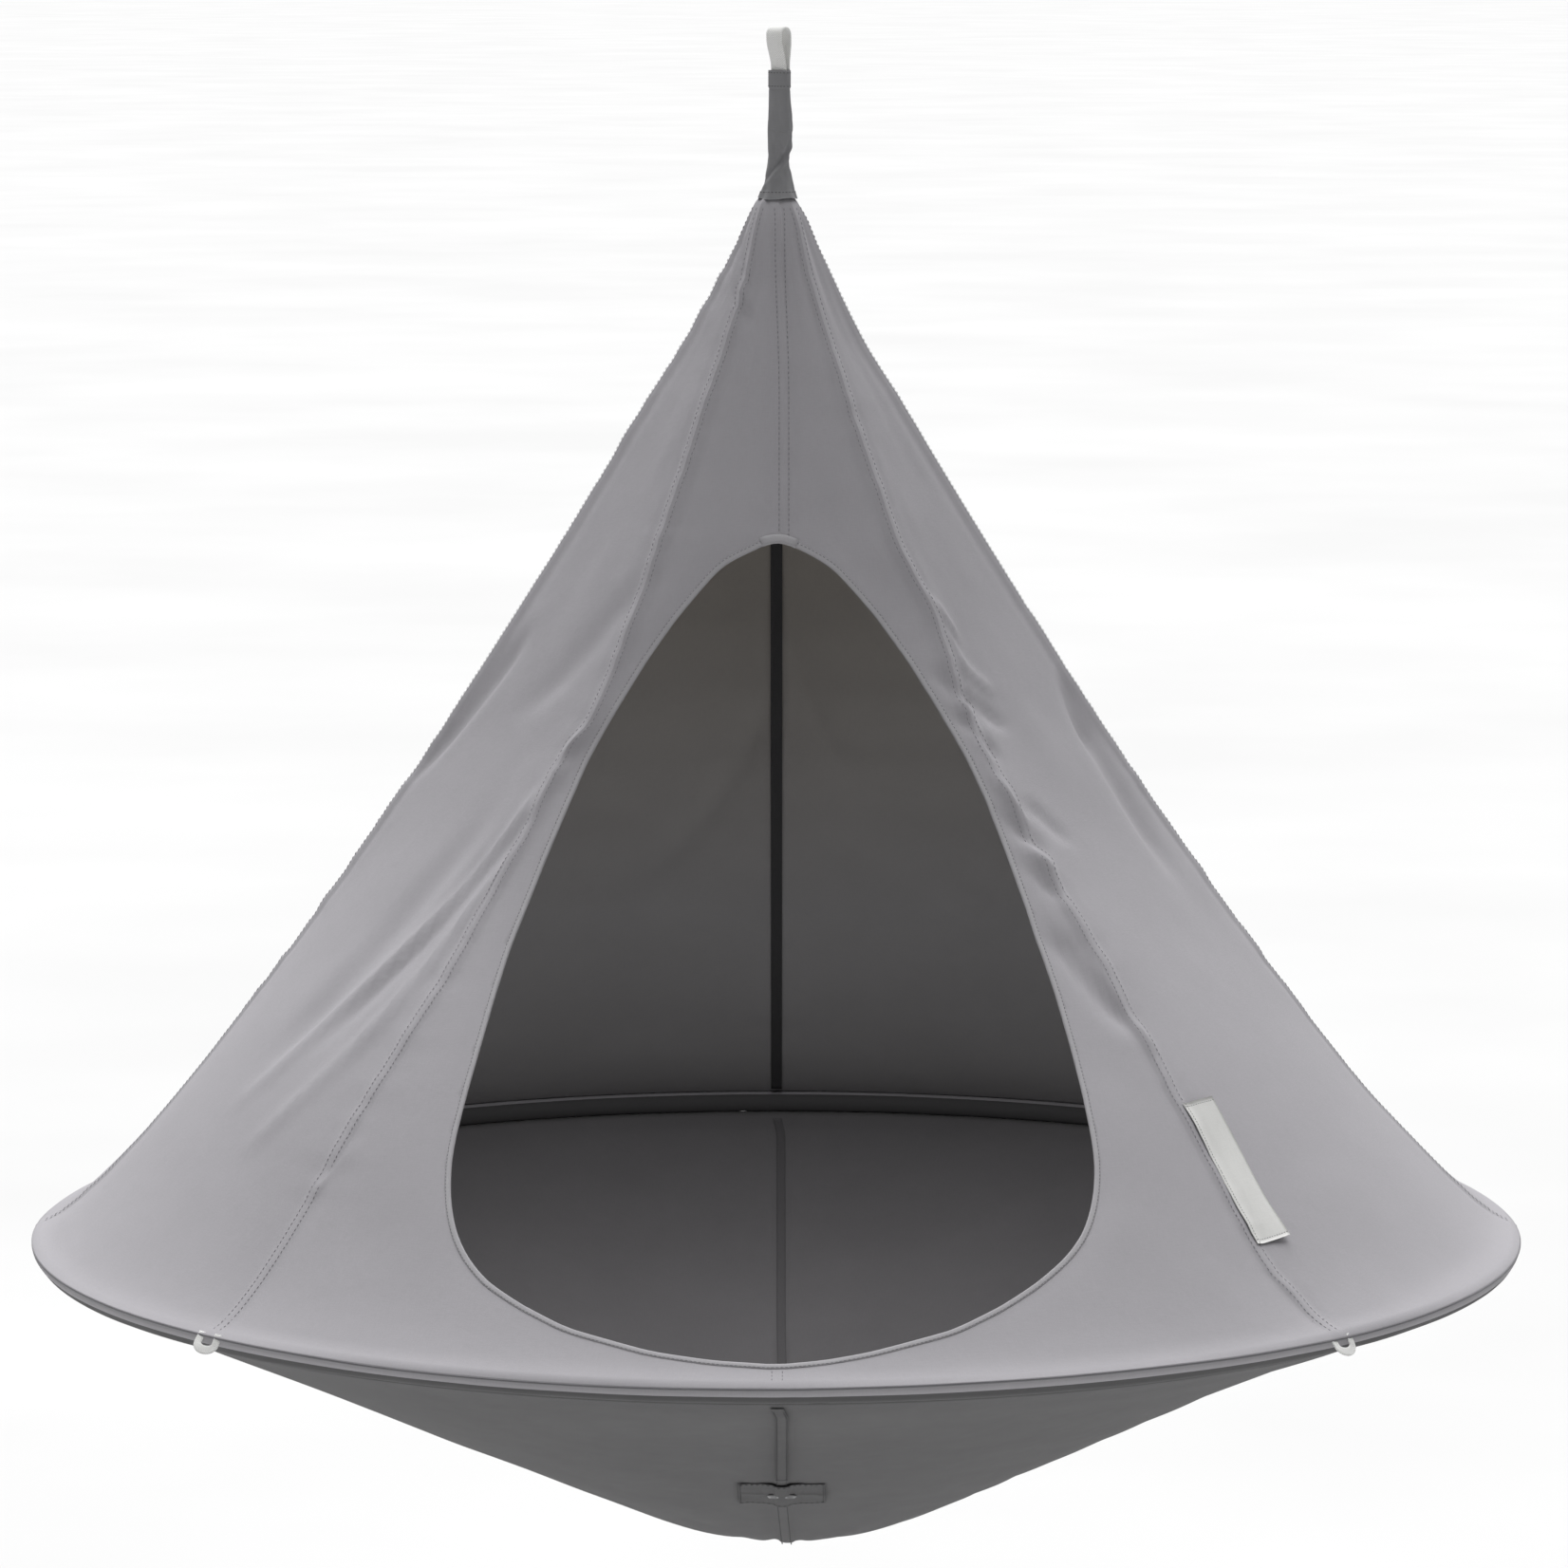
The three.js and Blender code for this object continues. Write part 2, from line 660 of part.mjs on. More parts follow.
// ---- neck: two lengths of sleeve with webbing inside, and the hem at the mouth ----
const SLEEVE_WALL = 1.5;
const lowerTop = FRONT_PIVOT - BEND_CLEARANCE;
const upperBottom = FRONT_PIVOT + BEND_CLEARANCE;
const hemBottom = NECK_TOP - HEM_HEIGHT;

function neckSleeve(bottom, top, proud = 0) {
  const width = NECK_WIDTH + 2 * proud;
  const depth = NECK_DEPTH + 2 * proud;
  return flatTube(width, depth, SLEEVE_WALL + proud, bottom, top);
}

function liftWebbing(bottom, top) {
  const height = top - bottom;
  return block(LOOP_WIDTH, 2 * WEBBING, height, 0, 0, (top + bottom) / 2).rotateZ(NECK_TURN);
}

addPiece("neck_sleeve_lower", neckSleeve(TWIST_HEIGHT, lowerTop), "neck");
addPiece("lift_webbing_lower", liftWebbing(TWIST_HEIGHT, lowerTop), "webbing");
addPiece("neck_sleeve_upper", neckSleeve(upperBottom, hemBottom - GAP), "neck");
addPiece("lift_webbing_upper", liftWebbing(upperBottom, NECK_TOP - 1), "webbing");
addPiece("neck_hem", neckSleeve(hemBottom, NECK_TOP, 0.6), "neck");

// ---- hanging loop: one length of webbing, its two ends sewn together at the bottom ----
function loopOutline(path, radius, bottom, bottomRadius) {
  const crown = HANG_HEIGHT - LOOP_RADIUS;
  return path
    .moveTo(radius, crown)
    .absarc(0, crown, radius, 0, Math.PI, false)
    .lineTo(-radius, crown - 12)
    .lineTo(-bottomRadius, bottom + bottomRadius)
    .absarc(0, bottom + bottomRadius, bottomRadius, Math.PI, 2 * Math.PI, false)
    .lineTo(radius, crown - 12)
    .lineTo(radius, crown);
}

const loopShape = loopOutline(
  new THREE.Shape(),
  LOOP_RADIUS + WEBBING,
  SIDE_PIVOT + BEND_CLEARANCE,
  WEBBING + 1,
);
loopShape.holes.push(loopOutline(new THREE.Path(), LOOP_RADIUS, SIDE_PIVOT + 9, 1));
const loop = new THREE.ExtrudeGeometry(loopShape, {
  depth: LOOP_WIDTH,
  bevelEnabled: false,
  curveSegments: 8,
})
  .translate(0, 0, -LOOP_WIDTH / 2)
  .rotateX(Math.PI / 2)
  .rotateZ(Math.PI / 2 + NECK_TURN);
addPiece("hanging_loop", loop, "webbing");

export default tent;
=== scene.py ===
"""A hanging tent: a cloth cone with a doorway, on a sleeved ring, over a cloth bowl.

Everything is in metres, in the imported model's frame: the origin is inside the crown of the hanging
loop, +Z is up, -Y is out through the doorway. Heights called `height` are over the ring's plane.
"""

import json
import math

import bpy
import numpy as np
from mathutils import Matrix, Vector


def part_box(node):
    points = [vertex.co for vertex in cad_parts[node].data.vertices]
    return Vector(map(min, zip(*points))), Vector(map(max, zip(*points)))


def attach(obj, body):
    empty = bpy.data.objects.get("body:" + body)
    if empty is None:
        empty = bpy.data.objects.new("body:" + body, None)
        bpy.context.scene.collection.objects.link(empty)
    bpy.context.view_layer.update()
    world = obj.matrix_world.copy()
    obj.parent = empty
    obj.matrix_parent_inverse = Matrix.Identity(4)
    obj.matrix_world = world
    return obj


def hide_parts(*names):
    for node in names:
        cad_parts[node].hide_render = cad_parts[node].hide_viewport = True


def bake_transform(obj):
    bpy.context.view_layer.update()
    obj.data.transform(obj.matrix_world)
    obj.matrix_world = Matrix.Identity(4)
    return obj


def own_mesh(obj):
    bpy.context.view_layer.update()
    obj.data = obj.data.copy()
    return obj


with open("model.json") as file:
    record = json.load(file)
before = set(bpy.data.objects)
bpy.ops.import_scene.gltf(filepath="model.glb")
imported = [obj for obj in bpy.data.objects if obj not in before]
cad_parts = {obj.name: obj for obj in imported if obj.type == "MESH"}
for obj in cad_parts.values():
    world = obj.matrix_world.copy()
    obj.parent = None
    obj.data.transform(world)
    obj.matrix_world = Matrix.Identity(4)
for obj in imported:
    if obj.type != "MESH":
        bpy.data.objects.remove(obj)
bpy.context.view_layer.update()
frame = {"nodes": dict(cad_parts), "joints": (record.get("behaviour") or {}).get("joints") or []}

# ---------------------------------------------------------------------------------------------
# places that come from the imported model


def box(node):
    low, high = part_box(node)
    return np.array(low), np.array(high)


tube_low, tube_high = box("ring_tube_front_right")
TUBE_RADIUS = (tube_high[2] - tube_low[2]) / 2
RING_DROP = 0.0038  # from the ring's plane down to its tube's centreline
TUBE_Z = (tube_low[2] + tube_high[2]) / 2
RING_Z = TUBE_Z + RING_DROP
RING_RADIUS = tube_high[0] - TUBE_RADIUS
CANOPY_TOP = box("canopy_panel_back_left")[1][2] - RING_Z
BOWL_DEPTH = RING_Z - box("floor_panel_left")[0][2]
BOWL_EDGE = np.array([-box("floor_panel_left")[0][0], -0.019])
PIVOTS = {j["name"]: j.get("pos_m") for j in frame["joints"]}
TWIST_PIVOT = PIVOTS["twist"][2]
MOUTH = box("neck_hem")[1][2] + 0.003

# ---------------------------------------------------------------------------------------------
# camera first

CAMERA_AWAY = 6.667  # from the tent's axis
CAMERA_HEIGHT = 1.337  # over the ring's plane
CAMERA_TILT = 7.54  # degrees that it looks down


def add_to_scene(name, data):
    """A new object in the scene, made from a mesh, light or camera."""
    made = bpy.data.objects.new(name, data)
    bpy.context.scene.collection.objects.link(made)
    return made


def make_camera():
    data = bpy.data.cameras.new("camera")
    data.sensor_width = 36
    data.lens = 153
    data.shift_x = 0.0048
    data.clip_end = 1000
    camera = add_to_scene("camera", data)
    camera.location = (0, -CAMERA_AWAY, RING_Z + CAMERA_HEIGHT)
    camera.rotation_euler = (math.radians(90 - CAMERA_TILT), 0, 0)
    bpy.context.scene.camera = camera


make_camera()

# ---------------------------------------------------------------------------------------------
# number helpers


def smoothstep(x, low, high):
    t = np.clip((x - low) / (high - low), 0, 1)
    return t * t * (3 - 2 * t)


def bezier(points, t):
    points = [np.asarray(p, float) for p in points]
    t = np.asarray(t, float)[:, None]
    while len(points) > 1:
        points = [a + (b - a) * t for a, b in zip(points, points[1:])]
    return points[0]


def bell(x, middle, width):
    """1 at the middle, falling off smoothly on both sides."""
    return np.exp(-(((x - middle) / width) ** 2))


def half_turn(azimuth):
    """The azimuth brought between -180 and 180 degrees."""
    return (azimuth + 180) % 360 - 180


def together(*values):
    """Numbers and arrays as float arrays of one shape."""
    return np.broadcast_arrays(*(np.asarray(value, float) for value in values))


def evenly(count):
    return np.linspace(0, 1, count)


def round_turn(count):
    """Even steps round a full turn, in radians."""
    return np.linspace(0, 2 * math.pi, count, endpoint=False)


def run_length(points):
    """The length along a path at each of its points."""
    return np.concatenate([[0], np.cumsum(np.linalg.norm(np.diff(points, axis=0), axis=1))])


def unit(vectors):
    return vectors / np.maximum(np.linalg.norm(vectors, axis=-1, keepdims=True), 1e-12)


class Noise:
    """Smooth noise from -1 to 1 with a cell of 1; u repeats after `repeat` cells."""

    def __init__(self, seed, repeat=64, rows=64):
        self.lattice = np.random.default_rng(seed).uniform(-1, 1, (repeat, rows))

    def __call__(self, u, v):
        repeat, rows = self.lattice.shape
        low_u, low_v = np.floor(u).astype(int), np.floor(v).astype(int)
        fu, fv = u - low_u, v - low_v
        fu, fv = fu * fu * (3 - 2 * fu), fv * fv * (3 - 2 * fv)

        def at(du, dv):
            return self.lattice[(low_u + du) % repeat, (low_v + dv) % rows]

        near = at(0, 0) * (1 - fu) + at(1, 0) * fu
        far = at(0, 1) * (1 - fu) + at(1, 1) * fu
        return near * (1 - fv) + far * fv


# ---------------------------------------------------------------------------------------------
# the canopy's surface: its profile from neck to ring, the eave past the ring, and its eight gores

PROFILE = ((0.0177, CANOPY_TOP), (0.1745, 0.7278), (0.6355, 0.037), (0.7464, 0.0064))
EAVE = 0.012  # how far the canopy goes on past the tube to the ring's seam

# (azimuth, how far the eave bends down, in degrees), which moves the ring's seam up and down
EAVE_BENDS = (
    (-180, 28), (-110, 26), (-80, 14), (-62, 4), (-49, 4), (-38, 14), (-27, 34), (-13, 38), (0, 24),
    (8, 12), (15, 6), (28, 6), (38, 22), (50, 44), (65, 30), (90, 24), (180, 28),
)  # fmt: skip

# (azimuth, share of the profile's radius high up, the heights between which the share fades in)
SEAMS = (
    (0, 0.62, 0, 0.62),
    (45, 0.8, 0.15, 0.62),
    (90, 1, 0, 0.62),
    (135, 0.93, 0.1, 0.62),
    (180, 0.95, 0.1, 0.62),
)
NECK_ROUNDS_FROM = 0.96
FLATTEST = 0.85


def eave(start, heading, bend, share):
    """Radius, height and direction along the eave, which starts at the tube and bends down."""
    now = heading - bend * share
    run = (np.sin(heading) - np.sin(now)) / bend
    rise = (np.cos(now) - np.cos(heading)) / bend
    return start[0] + EAVE * run, start[1] + EAVE * rise, np.cos(now), np.sin(now)


def profile_table():
    """Length along, radius, height and direction of the canopy from the neck to the ring's seam."""
    curve = bezier(PROFILE, evenly(4000))
    from_ring = curve - (RING_RADIUS, -RING_DROP)
    square = (from_ring * np.gradient(curve, axis=0)).sum(1)
    contact = int(np.argmax(square > 0))
    heading = math.atan2(*(curve[contact + 1] - curve[contact])[::-1])
    edge = eave(curve[contact], heading, math.radians(25), evenly(60)[1:])
    line = np.vstack([curve[: contact + 1], np.stack(edge[:2], 1)])
    along = run_length(line)
    direction = unit(np.gradient(line, along, axis=0))
    return along, line, direction, along[contact], curve[contact], heading


ALONG, LINE, DIRECTION, CONTACT, EAVE_START, EAVE_HEADING = profile_table()
LENGTH = ALONG[-1]


def profile(along):
    return [np.interp(along, ALONG, column) for column in (*LINE.T, *DIRECTION.T)]


def table_at(table, x, column=1):
    """The table's value in one column, smoothly between its rows."""
    table = np.asarray(table, float)
    row = np.clip(np.searchsorted(table[:, 0], x) - 1, 0, len(table) - 2)
    low, high = table[row], table[row + 1]
    share = smoothstep(np.asarray(x, float), low[..., 0], high[..., 0])
    return low[..., column] + (high[..., column] - low[..., column]) * share


def eave_bend(azimuth):
    return np.radians(table_at(EAVE_BENDS, half_turn(np.asarray(azimuth, float))))


def profile_at(azimuth, along):
    """The profile, with the eave as it is at this azimuth."""
    share = np.clip((along - CONTACT) / EAVE, 0, 1)
    edge = eave(EAVE_START, EAVE_HEADING, eave_bend(azimuth), share)
    return [np.where(share > 0, bent, plain) for bent, plain in zip(edge, profile(along))]


def ring_seam(azimuth):
    """Where the ring's seam lies round the tube: its angle and its distance from the middle."""
    reach, height, _, _ = eave(EAVE_START, EAVE_HEADING, eave_bend(azimuth), 1.0)
    out, up = reach - RING_RADIUS, height + RING_DROP
    return np.arctan2(up, out), np.hypot(up, out)


def along_at(height):
    return np.interp(-np.asarray(height, float), -LINE[:, 1], ALONG)


def seam_radius(seam, radius, height):
    _, share, low, high = seam
    rounding = smoothstep(height, NECK_ROUNDS_FROM, CANOPY_TOP)
    return radius * (1 - (1 - share) * smoothstep(height, low, high) * (1 - rounding))


def canopy_radius(azimuth, radius, height):
    turn = np.minimum(np.abs(azimuth), 360 - np.abs(azimuth))
    gore = np.minimum(turn // 45, 3).astype(int)
    radii = np.stack([seam_radius(seam, radius, height) for seam in SEAMS])
    a = np.take_along_axis(radii, gore[None], 0)[0]
    b = np.take_along_axis(radii, gore[None] + 1, 0)[0]
    left = np.radians(turn - 45 * gore)
    right = np.radians(45) - left
    chord = a * b * math.sin(math.radians(45)) / (a * np.sin(left) + b * np.sin(right))
    arc = a + (b - a) * left / math.radians(45)
    round_share = 1 - FLATTEST * smoothstep(height, 0.1, 0.6)
    reach = chord + (arc - chord) * round_share
    tight = smoothstep(height, 0.06, 0.16) * (1 - smoothstep(height, 0.9, 1.0))
    reach = reach - 0.0058 * tight * bell(azimuth, 90, 40)
    waist = smoothstep(height, 0.84, 0.90) * (1 - smoothstep(height, 0.99, 1.03))
    return reach - 0.0032 * waist * bell(turn, 90, 45)


# (height, azimuth) of the two front diagonal seams, which the doorway's tension draws aside
RIGHT_SEAM = (
    (0, 44.8), (0.027, 44.2), (0.06, 43.4), (0.20, 44.1), (0.25, 44.8), (0.33, 46.4), (0.45, 47.4),
    (0.56, 49.0), (0.64, 50.8), (0.72, 46.2), (0.82, 45.4), (0.93, 47.0), (1.05, 45),
)  # fmt: skip
LEFT_SEAM = (
    (0, -45), (0.30, -45.2), (0.42, -46.8), (0.50, -47.8), (0.555, -44.6), (0.72, -44),
    (0.82, -43.7), (0.93, -43), (1.05, -45),
)  # fmt: skip
PULL_WIDTH = 16  # degrees over which a seam's shift fades away on each side of it
FRONT_SEAM_ASIDE = 0.0077  # how far the front seam runs to the right of the axis over the doorway


def pull(azimuth, height):
    """How far the cloth's tension draws the three front seams aside, in degrees."""
    right = (table_at(RIGHT_SEAM, height) - 45) * bell(azimuth, 45, PULL_WIDTH)
    left = (table_at(LEFT_SEAM, height) + 45) * bell(azimuth, -45, PULL_WIDTH)
    radius = np.interp(-height, -LINE[:, 1], LINE[:, 0]) * 0.65
    aside = FRONT_SEAM_ASIDE * smoothstep(height, -0.1, 0.75)
    aside = aside * (1 - 0.7 * smoothstep(height, 0.85, 1.04))
    front = np.degrees(aside / np.maximum(radius, 0.02)) * bell(azimuth, 0, 20)
    return right + left + front


# ---- the doorway's outline, seen from the front ----
# (height, distance from the axis to the left edge, to the right edge)
DOOR_KNOTS = (
    (0.7112, 0.0065, 0.0065), (0.7066, 0.0168, 0.0187), (0.7020, 0.0262, 0.0282),
    (0.6965, 0.0385, 0.0385), (0.6910, 0.0485, 0.0480), (0.6856, 0.0561, 0.0560),
    (0.6628, 0.0766, 0.0775), (0.6401, 0.0961, 0.0971), (0.6174, 0.1129, 0.1138),
    (0.5947, 0.1290, 0.1305), (0.5500, 0.1573, 0.1591), (0.5057, 0.1829, 0.1857),
    (0.4623, 0.2027, 0.2065), (0.4194, 0.2215, 0.2232), (0.3773, 0.2390, 0.2390),
    (0.3361, 0.2563, 0.2535), (0.2958, 0.2696, 0.2678), (0.2563, 0.2812, 0.2796),
    (0.2170, 0.2930, 0.2898), (0.1784, 0.3030, 0.2975), (0.1600, 0.3059, 0.2995),
    (0.1406, 0.3062, 0.2985), (0.1220, 0.3041, 0.2938), (0.1040, 0.2987, 0.2855),
    (0.0870, 0.2880, 0.2682), (0.0700, 0.2692, 0.2407), (0.0545, 0.2364, 0.2073),
    (0.0390, 0.1926, 0.1628), (0.0248, 0.1152, 0.0849), (0.0194, 0.0580, 0.0420),
)  # fmt: skip
DOOR_TOP = 0.7125
DOOR_SILL = 0.0168
BINDING_INSIDE = 0.0016  # how far the binding reaches inside the cloth's edge


def door_outline(count=480):
    """Even places round the cloth's edge: a smooth line through the knots, then out a little."""
    knots = np.array(DOOR_KNOTS)
    right, left = knots[:, [2, 0]], knots[::-1, [1, 0]] * (-1, 1)
    outline = np.vstack([[[0, DOOR_TOP]], right, [[0, DOOR_SILL]], left, [[0, DOOR_TOP]]])
    length = run_length(outline)
    at = np.linspace(0, length[-1], count, endpoint=False)
    line = np.stack([np.interp(at, length, column) for column in outline.T], 1)
    weights = bell(np.arange(-6, 7), 0, 2.4)
    line = sum(w * np.roll(line, n, 0) for n, w in zip(range(-6, 7), weights / weights.sum()))
    ahead = unit(np.roll(line, -1, 0) - np.roll(line, 1, 0))
    out = np.stack([-ahead[:, 1], ahead[:, 0]], 1)
    foreshortened = np.interp(line[:, 1], (0.0, 0.05, 0.2, 0.7), (0.25, 0.4, 0.7, 0.9))
    return line + out * np.stack([0 * foreshortened + 1, foreshortened], 1) * BINDING_INSIDE


DOOR = door_outline()
DOOR_MIDDLE = np.array([0, 0.25])


def door_distance(x, height, y):
    """Distance to the doorway's outline, seen from the front: negative inside it."""
    shape = x.shape
    points = np.stack([x.ravel(), height.ravel()], 1)
    far = (y.ravel() > -0.05) | (np.abs(points[:, 0]) > 0.45) | (points[:, 1] > 0.9)
    distance = np.full(len(points), 1.0)
    near = np.flatnonzero(~far)
    around = np.arctan2(*(DOOR - DOOR_MIDDLE).T)
    reach = np.linalg.norm(DOOR - DOOR_MIDDLE, axis=1)
    order = np.argsort(around)
    for chunk in np.array_split(near, max(1, len(near) // 4000)):
        gap = points[chunk, None] - DOOR[None]
        least = np.sqrt((gap**2).sum(2).min(1))
        offset = points[chunk] - DOOR_MIDDLE
        turn = np.arctan2(offset[:, 0], offset[:, 1])
        edge = np.interp(turn, around[order], reach[order], period=2 * math.pi)
        distance[chunk] = np.where(np.linalg.norm(offset, axis=1) < edge, -least, least)
    return distance.reshape(shape)


# ---- relief: seams, puckers, gathers and tension folds ----

# (azimuth and height of one end, of the other, width, height of the fold; negative is a valley)
FOLDS = (
    (-47.5, 0.47, -57.5, 0.29, 0.006, 0.0056),
    (-54.5, 0.36, -64, 0.19, 0.012, 0.0044),
    (-46.5, 0.40, -51, 0.255, 0.006, 0.0044),
    (-50, 0.27, -57, 0.15, 0.011, 0.0036),
    (-50, 0.42, -58, 0.25, 0.018, -0.0055),
    (-59.5, 0.43, -65, 0.22, 0.026, -0.0060),
    (-42.2, 0.545, -45.6, 0.510, 0.006, 0.0028),
    (-43.6, 0.500, -46, 0.455, 0.006, 0.0028),
    (-43, 0.165, -44.8, 0.12, 0.005, 0.0014),
    (-84, 0.60, -88, 0.48, 0.012, -0.0070),
    (-50, 0.66, -66, 0.55, 0.018, -0.0040),
    (47.5, 0.655, 53, 0.618, 0.006, 0.0034),
    (47.8, 0.625, 50.8, 0.590, 0.005, 0.0030),
    (48.8, 0.595, 57.5, 0.565, 0.008, 0.0036),
    (47.5, 0.560, 56, 0.530, 0.010, -0.0040),
    (41.2, 0.585, 47, 0.558, 0.008, -0.0044),
    (42.6, 0.545, 48, 0.505, 0.008, -0.0046),
    (42.8, 0.500, 46.6, 0.445, 0.005, 0.0036),
    (42.2, 0.455, 46.2, 0.420, 0.009, -0.0046),
    (42.4, 0.430, 46.2, 0.400, 0.006, 0.0038),
    (41.4, 0.410, 44.4, 0.380, 0.007, -0.0036),
    (50.4, 0.460, 54.6, 0.425, 0.011, -0.0042),
    (39.6, 0.350, 44, 0.270, 0.014, -0.0075),
    (43.6, 0.315, 45.4, 0.250, 0.005, 0.0036),
    (85, 0.530, 80.5, 0.385, 0.016, -0.0075),
    (87, 0.560, 84, 0.500, 0.010, -0.0050),
    (-75, 1.000, -45, 0.962, 0.0040, -0.0028),
    (-62, 0.978, -34, 0.945, 0.0035, 0.0022),
    (-58, 0.955, -30, 0.925, 0.0040, -0.0026),
    (-42.8, 0.0115, -36.0, 0.0100, 0.005, -0.0018),
    (44.8, 0.0115, 48.6, 0.0105, 0.005, -0.0016),
    (4.0, 0.0115, 9.0, 0.0100, 0.004, -0.0016),
    (137, 0.52, 146, 0.34, 0.012, -0.0040),
    (132, 0.50, 124, 0.36, 0.009, 0.0030),
    (178, 0.58, 169, 0.42, 0.010, 0.0028),
    (-178, 0.50, -166, 0.33, 0.016, -0.0045),
    (-137, 0.60, -147, 0.44, 0.010, 0.0032),
    (-132, 0.42, -122, 0.26, 0.016, -0.0045),
    (93, 0.46, 103, 0.30, 0.012, -0.0036),
    (-94, 0.40, -104, 0.24, 0.012, -0.0036),
)
THICKNESS = 0.0012  # of the canvas
CASING = 0.017  # from where the cloth meets the tube up to the stitches of the tube's casing
SEAM_HALF = 0.006  # half the width of a felled seam

slow_noise = Noise(11, repeat=10)
fine_noise = Noise(12, repeat=48)
pucker_noise = Noise(13, repeat=64, rows=512)
gather_noise = Noise(14, repeat=26, rows=8)


def seam_distance(azimuth, reach):
    return np.radians(np.abs((azimuth + 22.5) % 45 - 22.5)) * reach


def relief(azimuth, along, radius, height, reach, door):
    """How far the cloth stands out from its smooth surface."""
    near = seam_distance(azimuth, reach)
    wide = np.minimum(1, reach / 0.08)  # near the neck everything is gathered together
    seam = 1 - smoothstep(near, SEAM_HALF * wide, (SEAM_HALF + 0.0015) * wide)
    bold = 1 - 0.55 * (np.abs(azimuth + 45) < 22) * (1 - smoothstep(height, 0.25, 0.45))
    bold *= 1 - 0.5 * smoothstep(height, 0.8, 0.95)
    lift = 0.0009 * seam - 0.0009 * bell(near / wide, 0.0115, 0.005)
    lift = (lift + 0.0003 * (1 - smoothstep(near, 0, 0.0012))) * bold

    seam_number = np.round((azimuth + 180) / 45)
    ripple = pucker_noise(seam_number * 7, along / 0.019)
    ripple += 0.5 * pucker_noise(seam_number * 5 + 20 + near * 40, along / 0.009)
    slack = 0.45 + 0.55 * pucker_noise(seam_number * 3 + 40, along / 0.13)
    busy = 1 + 1.3 * bell(height, 0.5, 0.16) * (np.abs(azimuth) < 70)
    lift += 0.0011 * ripple * np.clip(slack, 0.1, 1) * busy * np.exp(-near / 0.022)

    folds = 0.0016 * gather_noise(azimuth / 360 * 26, along / 0.08)
    folds *= smoothstep(along, 0.002, 0.02) * (1 - smoothstep(along, 0.04, 0.22))
    lift += folds

    turn = azimuth / 360
    lift += 0.0030 * slow_noise(turn * 10, along / 0.3) * smoothstep(near, 0, 0.08)
    lift += 0.0007 * fine_noise(turn * 48, along / 0.06) * smoothstep(near, 0, 0.04)

    for az0, height0, az1, height1, width, size in FOLDS:
        s0, s1 = along_at(height0), along_at(height1)
        share = (along - s0) / (s1 - s0)
        inside = (share > -0.25) & (share < 1.25) & (np.abs(azimuth - (az0 + az1) / 2) < 30)
        if not inside.any():
            continue
        share = share[inside]
        slope = np.radians(az1 - az0) * reach[inside] / (s1 - s0)
        middle = az0 + (az1 - az0) * share
        away = np.radians(azimuth[inside] - middle) * reach[inside] / np.sqrt(1 + slope**2)
        ends = smoothstep(share, -0.25, 0.2) * (1 - smoothstep(share, 0.8, 1.25))
        lift[inside] += size * ends * bell(away, 0, width)

    taut = 0.25 + 0.75 * smoothstep(door, 0.002, 0.022)
    lift *= taut
    casing = bell(along, CONTACT - CASING, 0.0016)
    tight = smoothstep(along, CONTACT - 0.03, CONTACT)
    lift = lift * (1 - 0.8 * tight) - 0.0006 * casing
    return lift * smoothstep(along, 0.008, 0.03)


NECK_TUCK = 0.0020  # how far the canopy's top edge goes in under the neck's flare


def canopy(azimuth, along, lift=0.0, plain=False):
    """Points of the canopy's outer face, moved out by lift."""
    azimuth, along = together(azimuth, along)
    azimuth = half_turn(azimuth)
    radius, height, run, rise = profile_at(azimuth, along)
    reach = canopy_radius(azimuth, radius, height) - NECK_TUCK * (1 - smoothstep(along, 0, 0.006))
    turned = np.radians(azimuth + pull(azimuth, height))
    out = np.zeros_like(reach)
    if not plain:
        door = door_distance(reach * np.sin(turned), height, -reach * np.cos(turned))
        out = relief(azimuth, along, radius, height, reach, door)
    out = out + lift
    reach = reach - out * rise
    height = height + out * run
    return np.stack([reach * np.sin(turned), -reach * np.cos(turned), RING_Z + height], -1)


def canopy_frame(azimuth, along, lift=0.0):
    """Points, the direction down the canopy, the direction round it and the outward normal."""
    point = canopy(azimuth, along, lift)
    down = canopy(azimuth, along + 0.002, plain=True) - canopy(azimuth, along - 0.002, plain=True)
    across = canopy(azimuth + 0.4, along, plain=True) - canopy(azimuth - 0.4, along, plain=True)
    down, across = unit(down), unit(across)
    return point, down, across, unit(np.cross(down, across))


# ---------------------------------------------------------------------------------------------
# materials


def add_node(tree, kind, *inputs, **settings):
    """A node of this kind. inputs fill its sockets in order, None leaves one as it is."""
    node = tree.nodes.new("ShaderNode" + kind)
    named = settings.pop("named", {})
    for key, value in settings.items():
        setattr(node, key, value)
    sockets = [*zip(node.inputs, inputs), *((node.inputs[k], v) for k, v in named.items())]
    for socket, value in sockets:
        if isinstance(value, bpy.types.NodeSocket):
            tree.links.new(value, socket)
        elif value is not None:
            socket.default_value = value
    return node


def maths(tree, operation, *inputs):
    return add_node(tree, "Math", *inputs, operation=operation).outputs[0]


def mixed(tree, share, first, second, blend="MIX"):
    node = add_node(tree, "Mix", data_type="RGBA", blend_type=blend)
    for socket, value in zip((node.inputs[n] for n in (0, 6, 7)), (share, first, second)):
        if isinstance(value, bpy.types.NodeSocket):
            tree.links.new(value, socket)
        else:
            socket.default_value = value
    return node.outputs[2]


def new_material(name):
    material = bpy.data.materials.new(name)
    material.use_nodes = True
    tree = material.node_tree
    return material, tree, tree.nodes["Principled BSDF"]


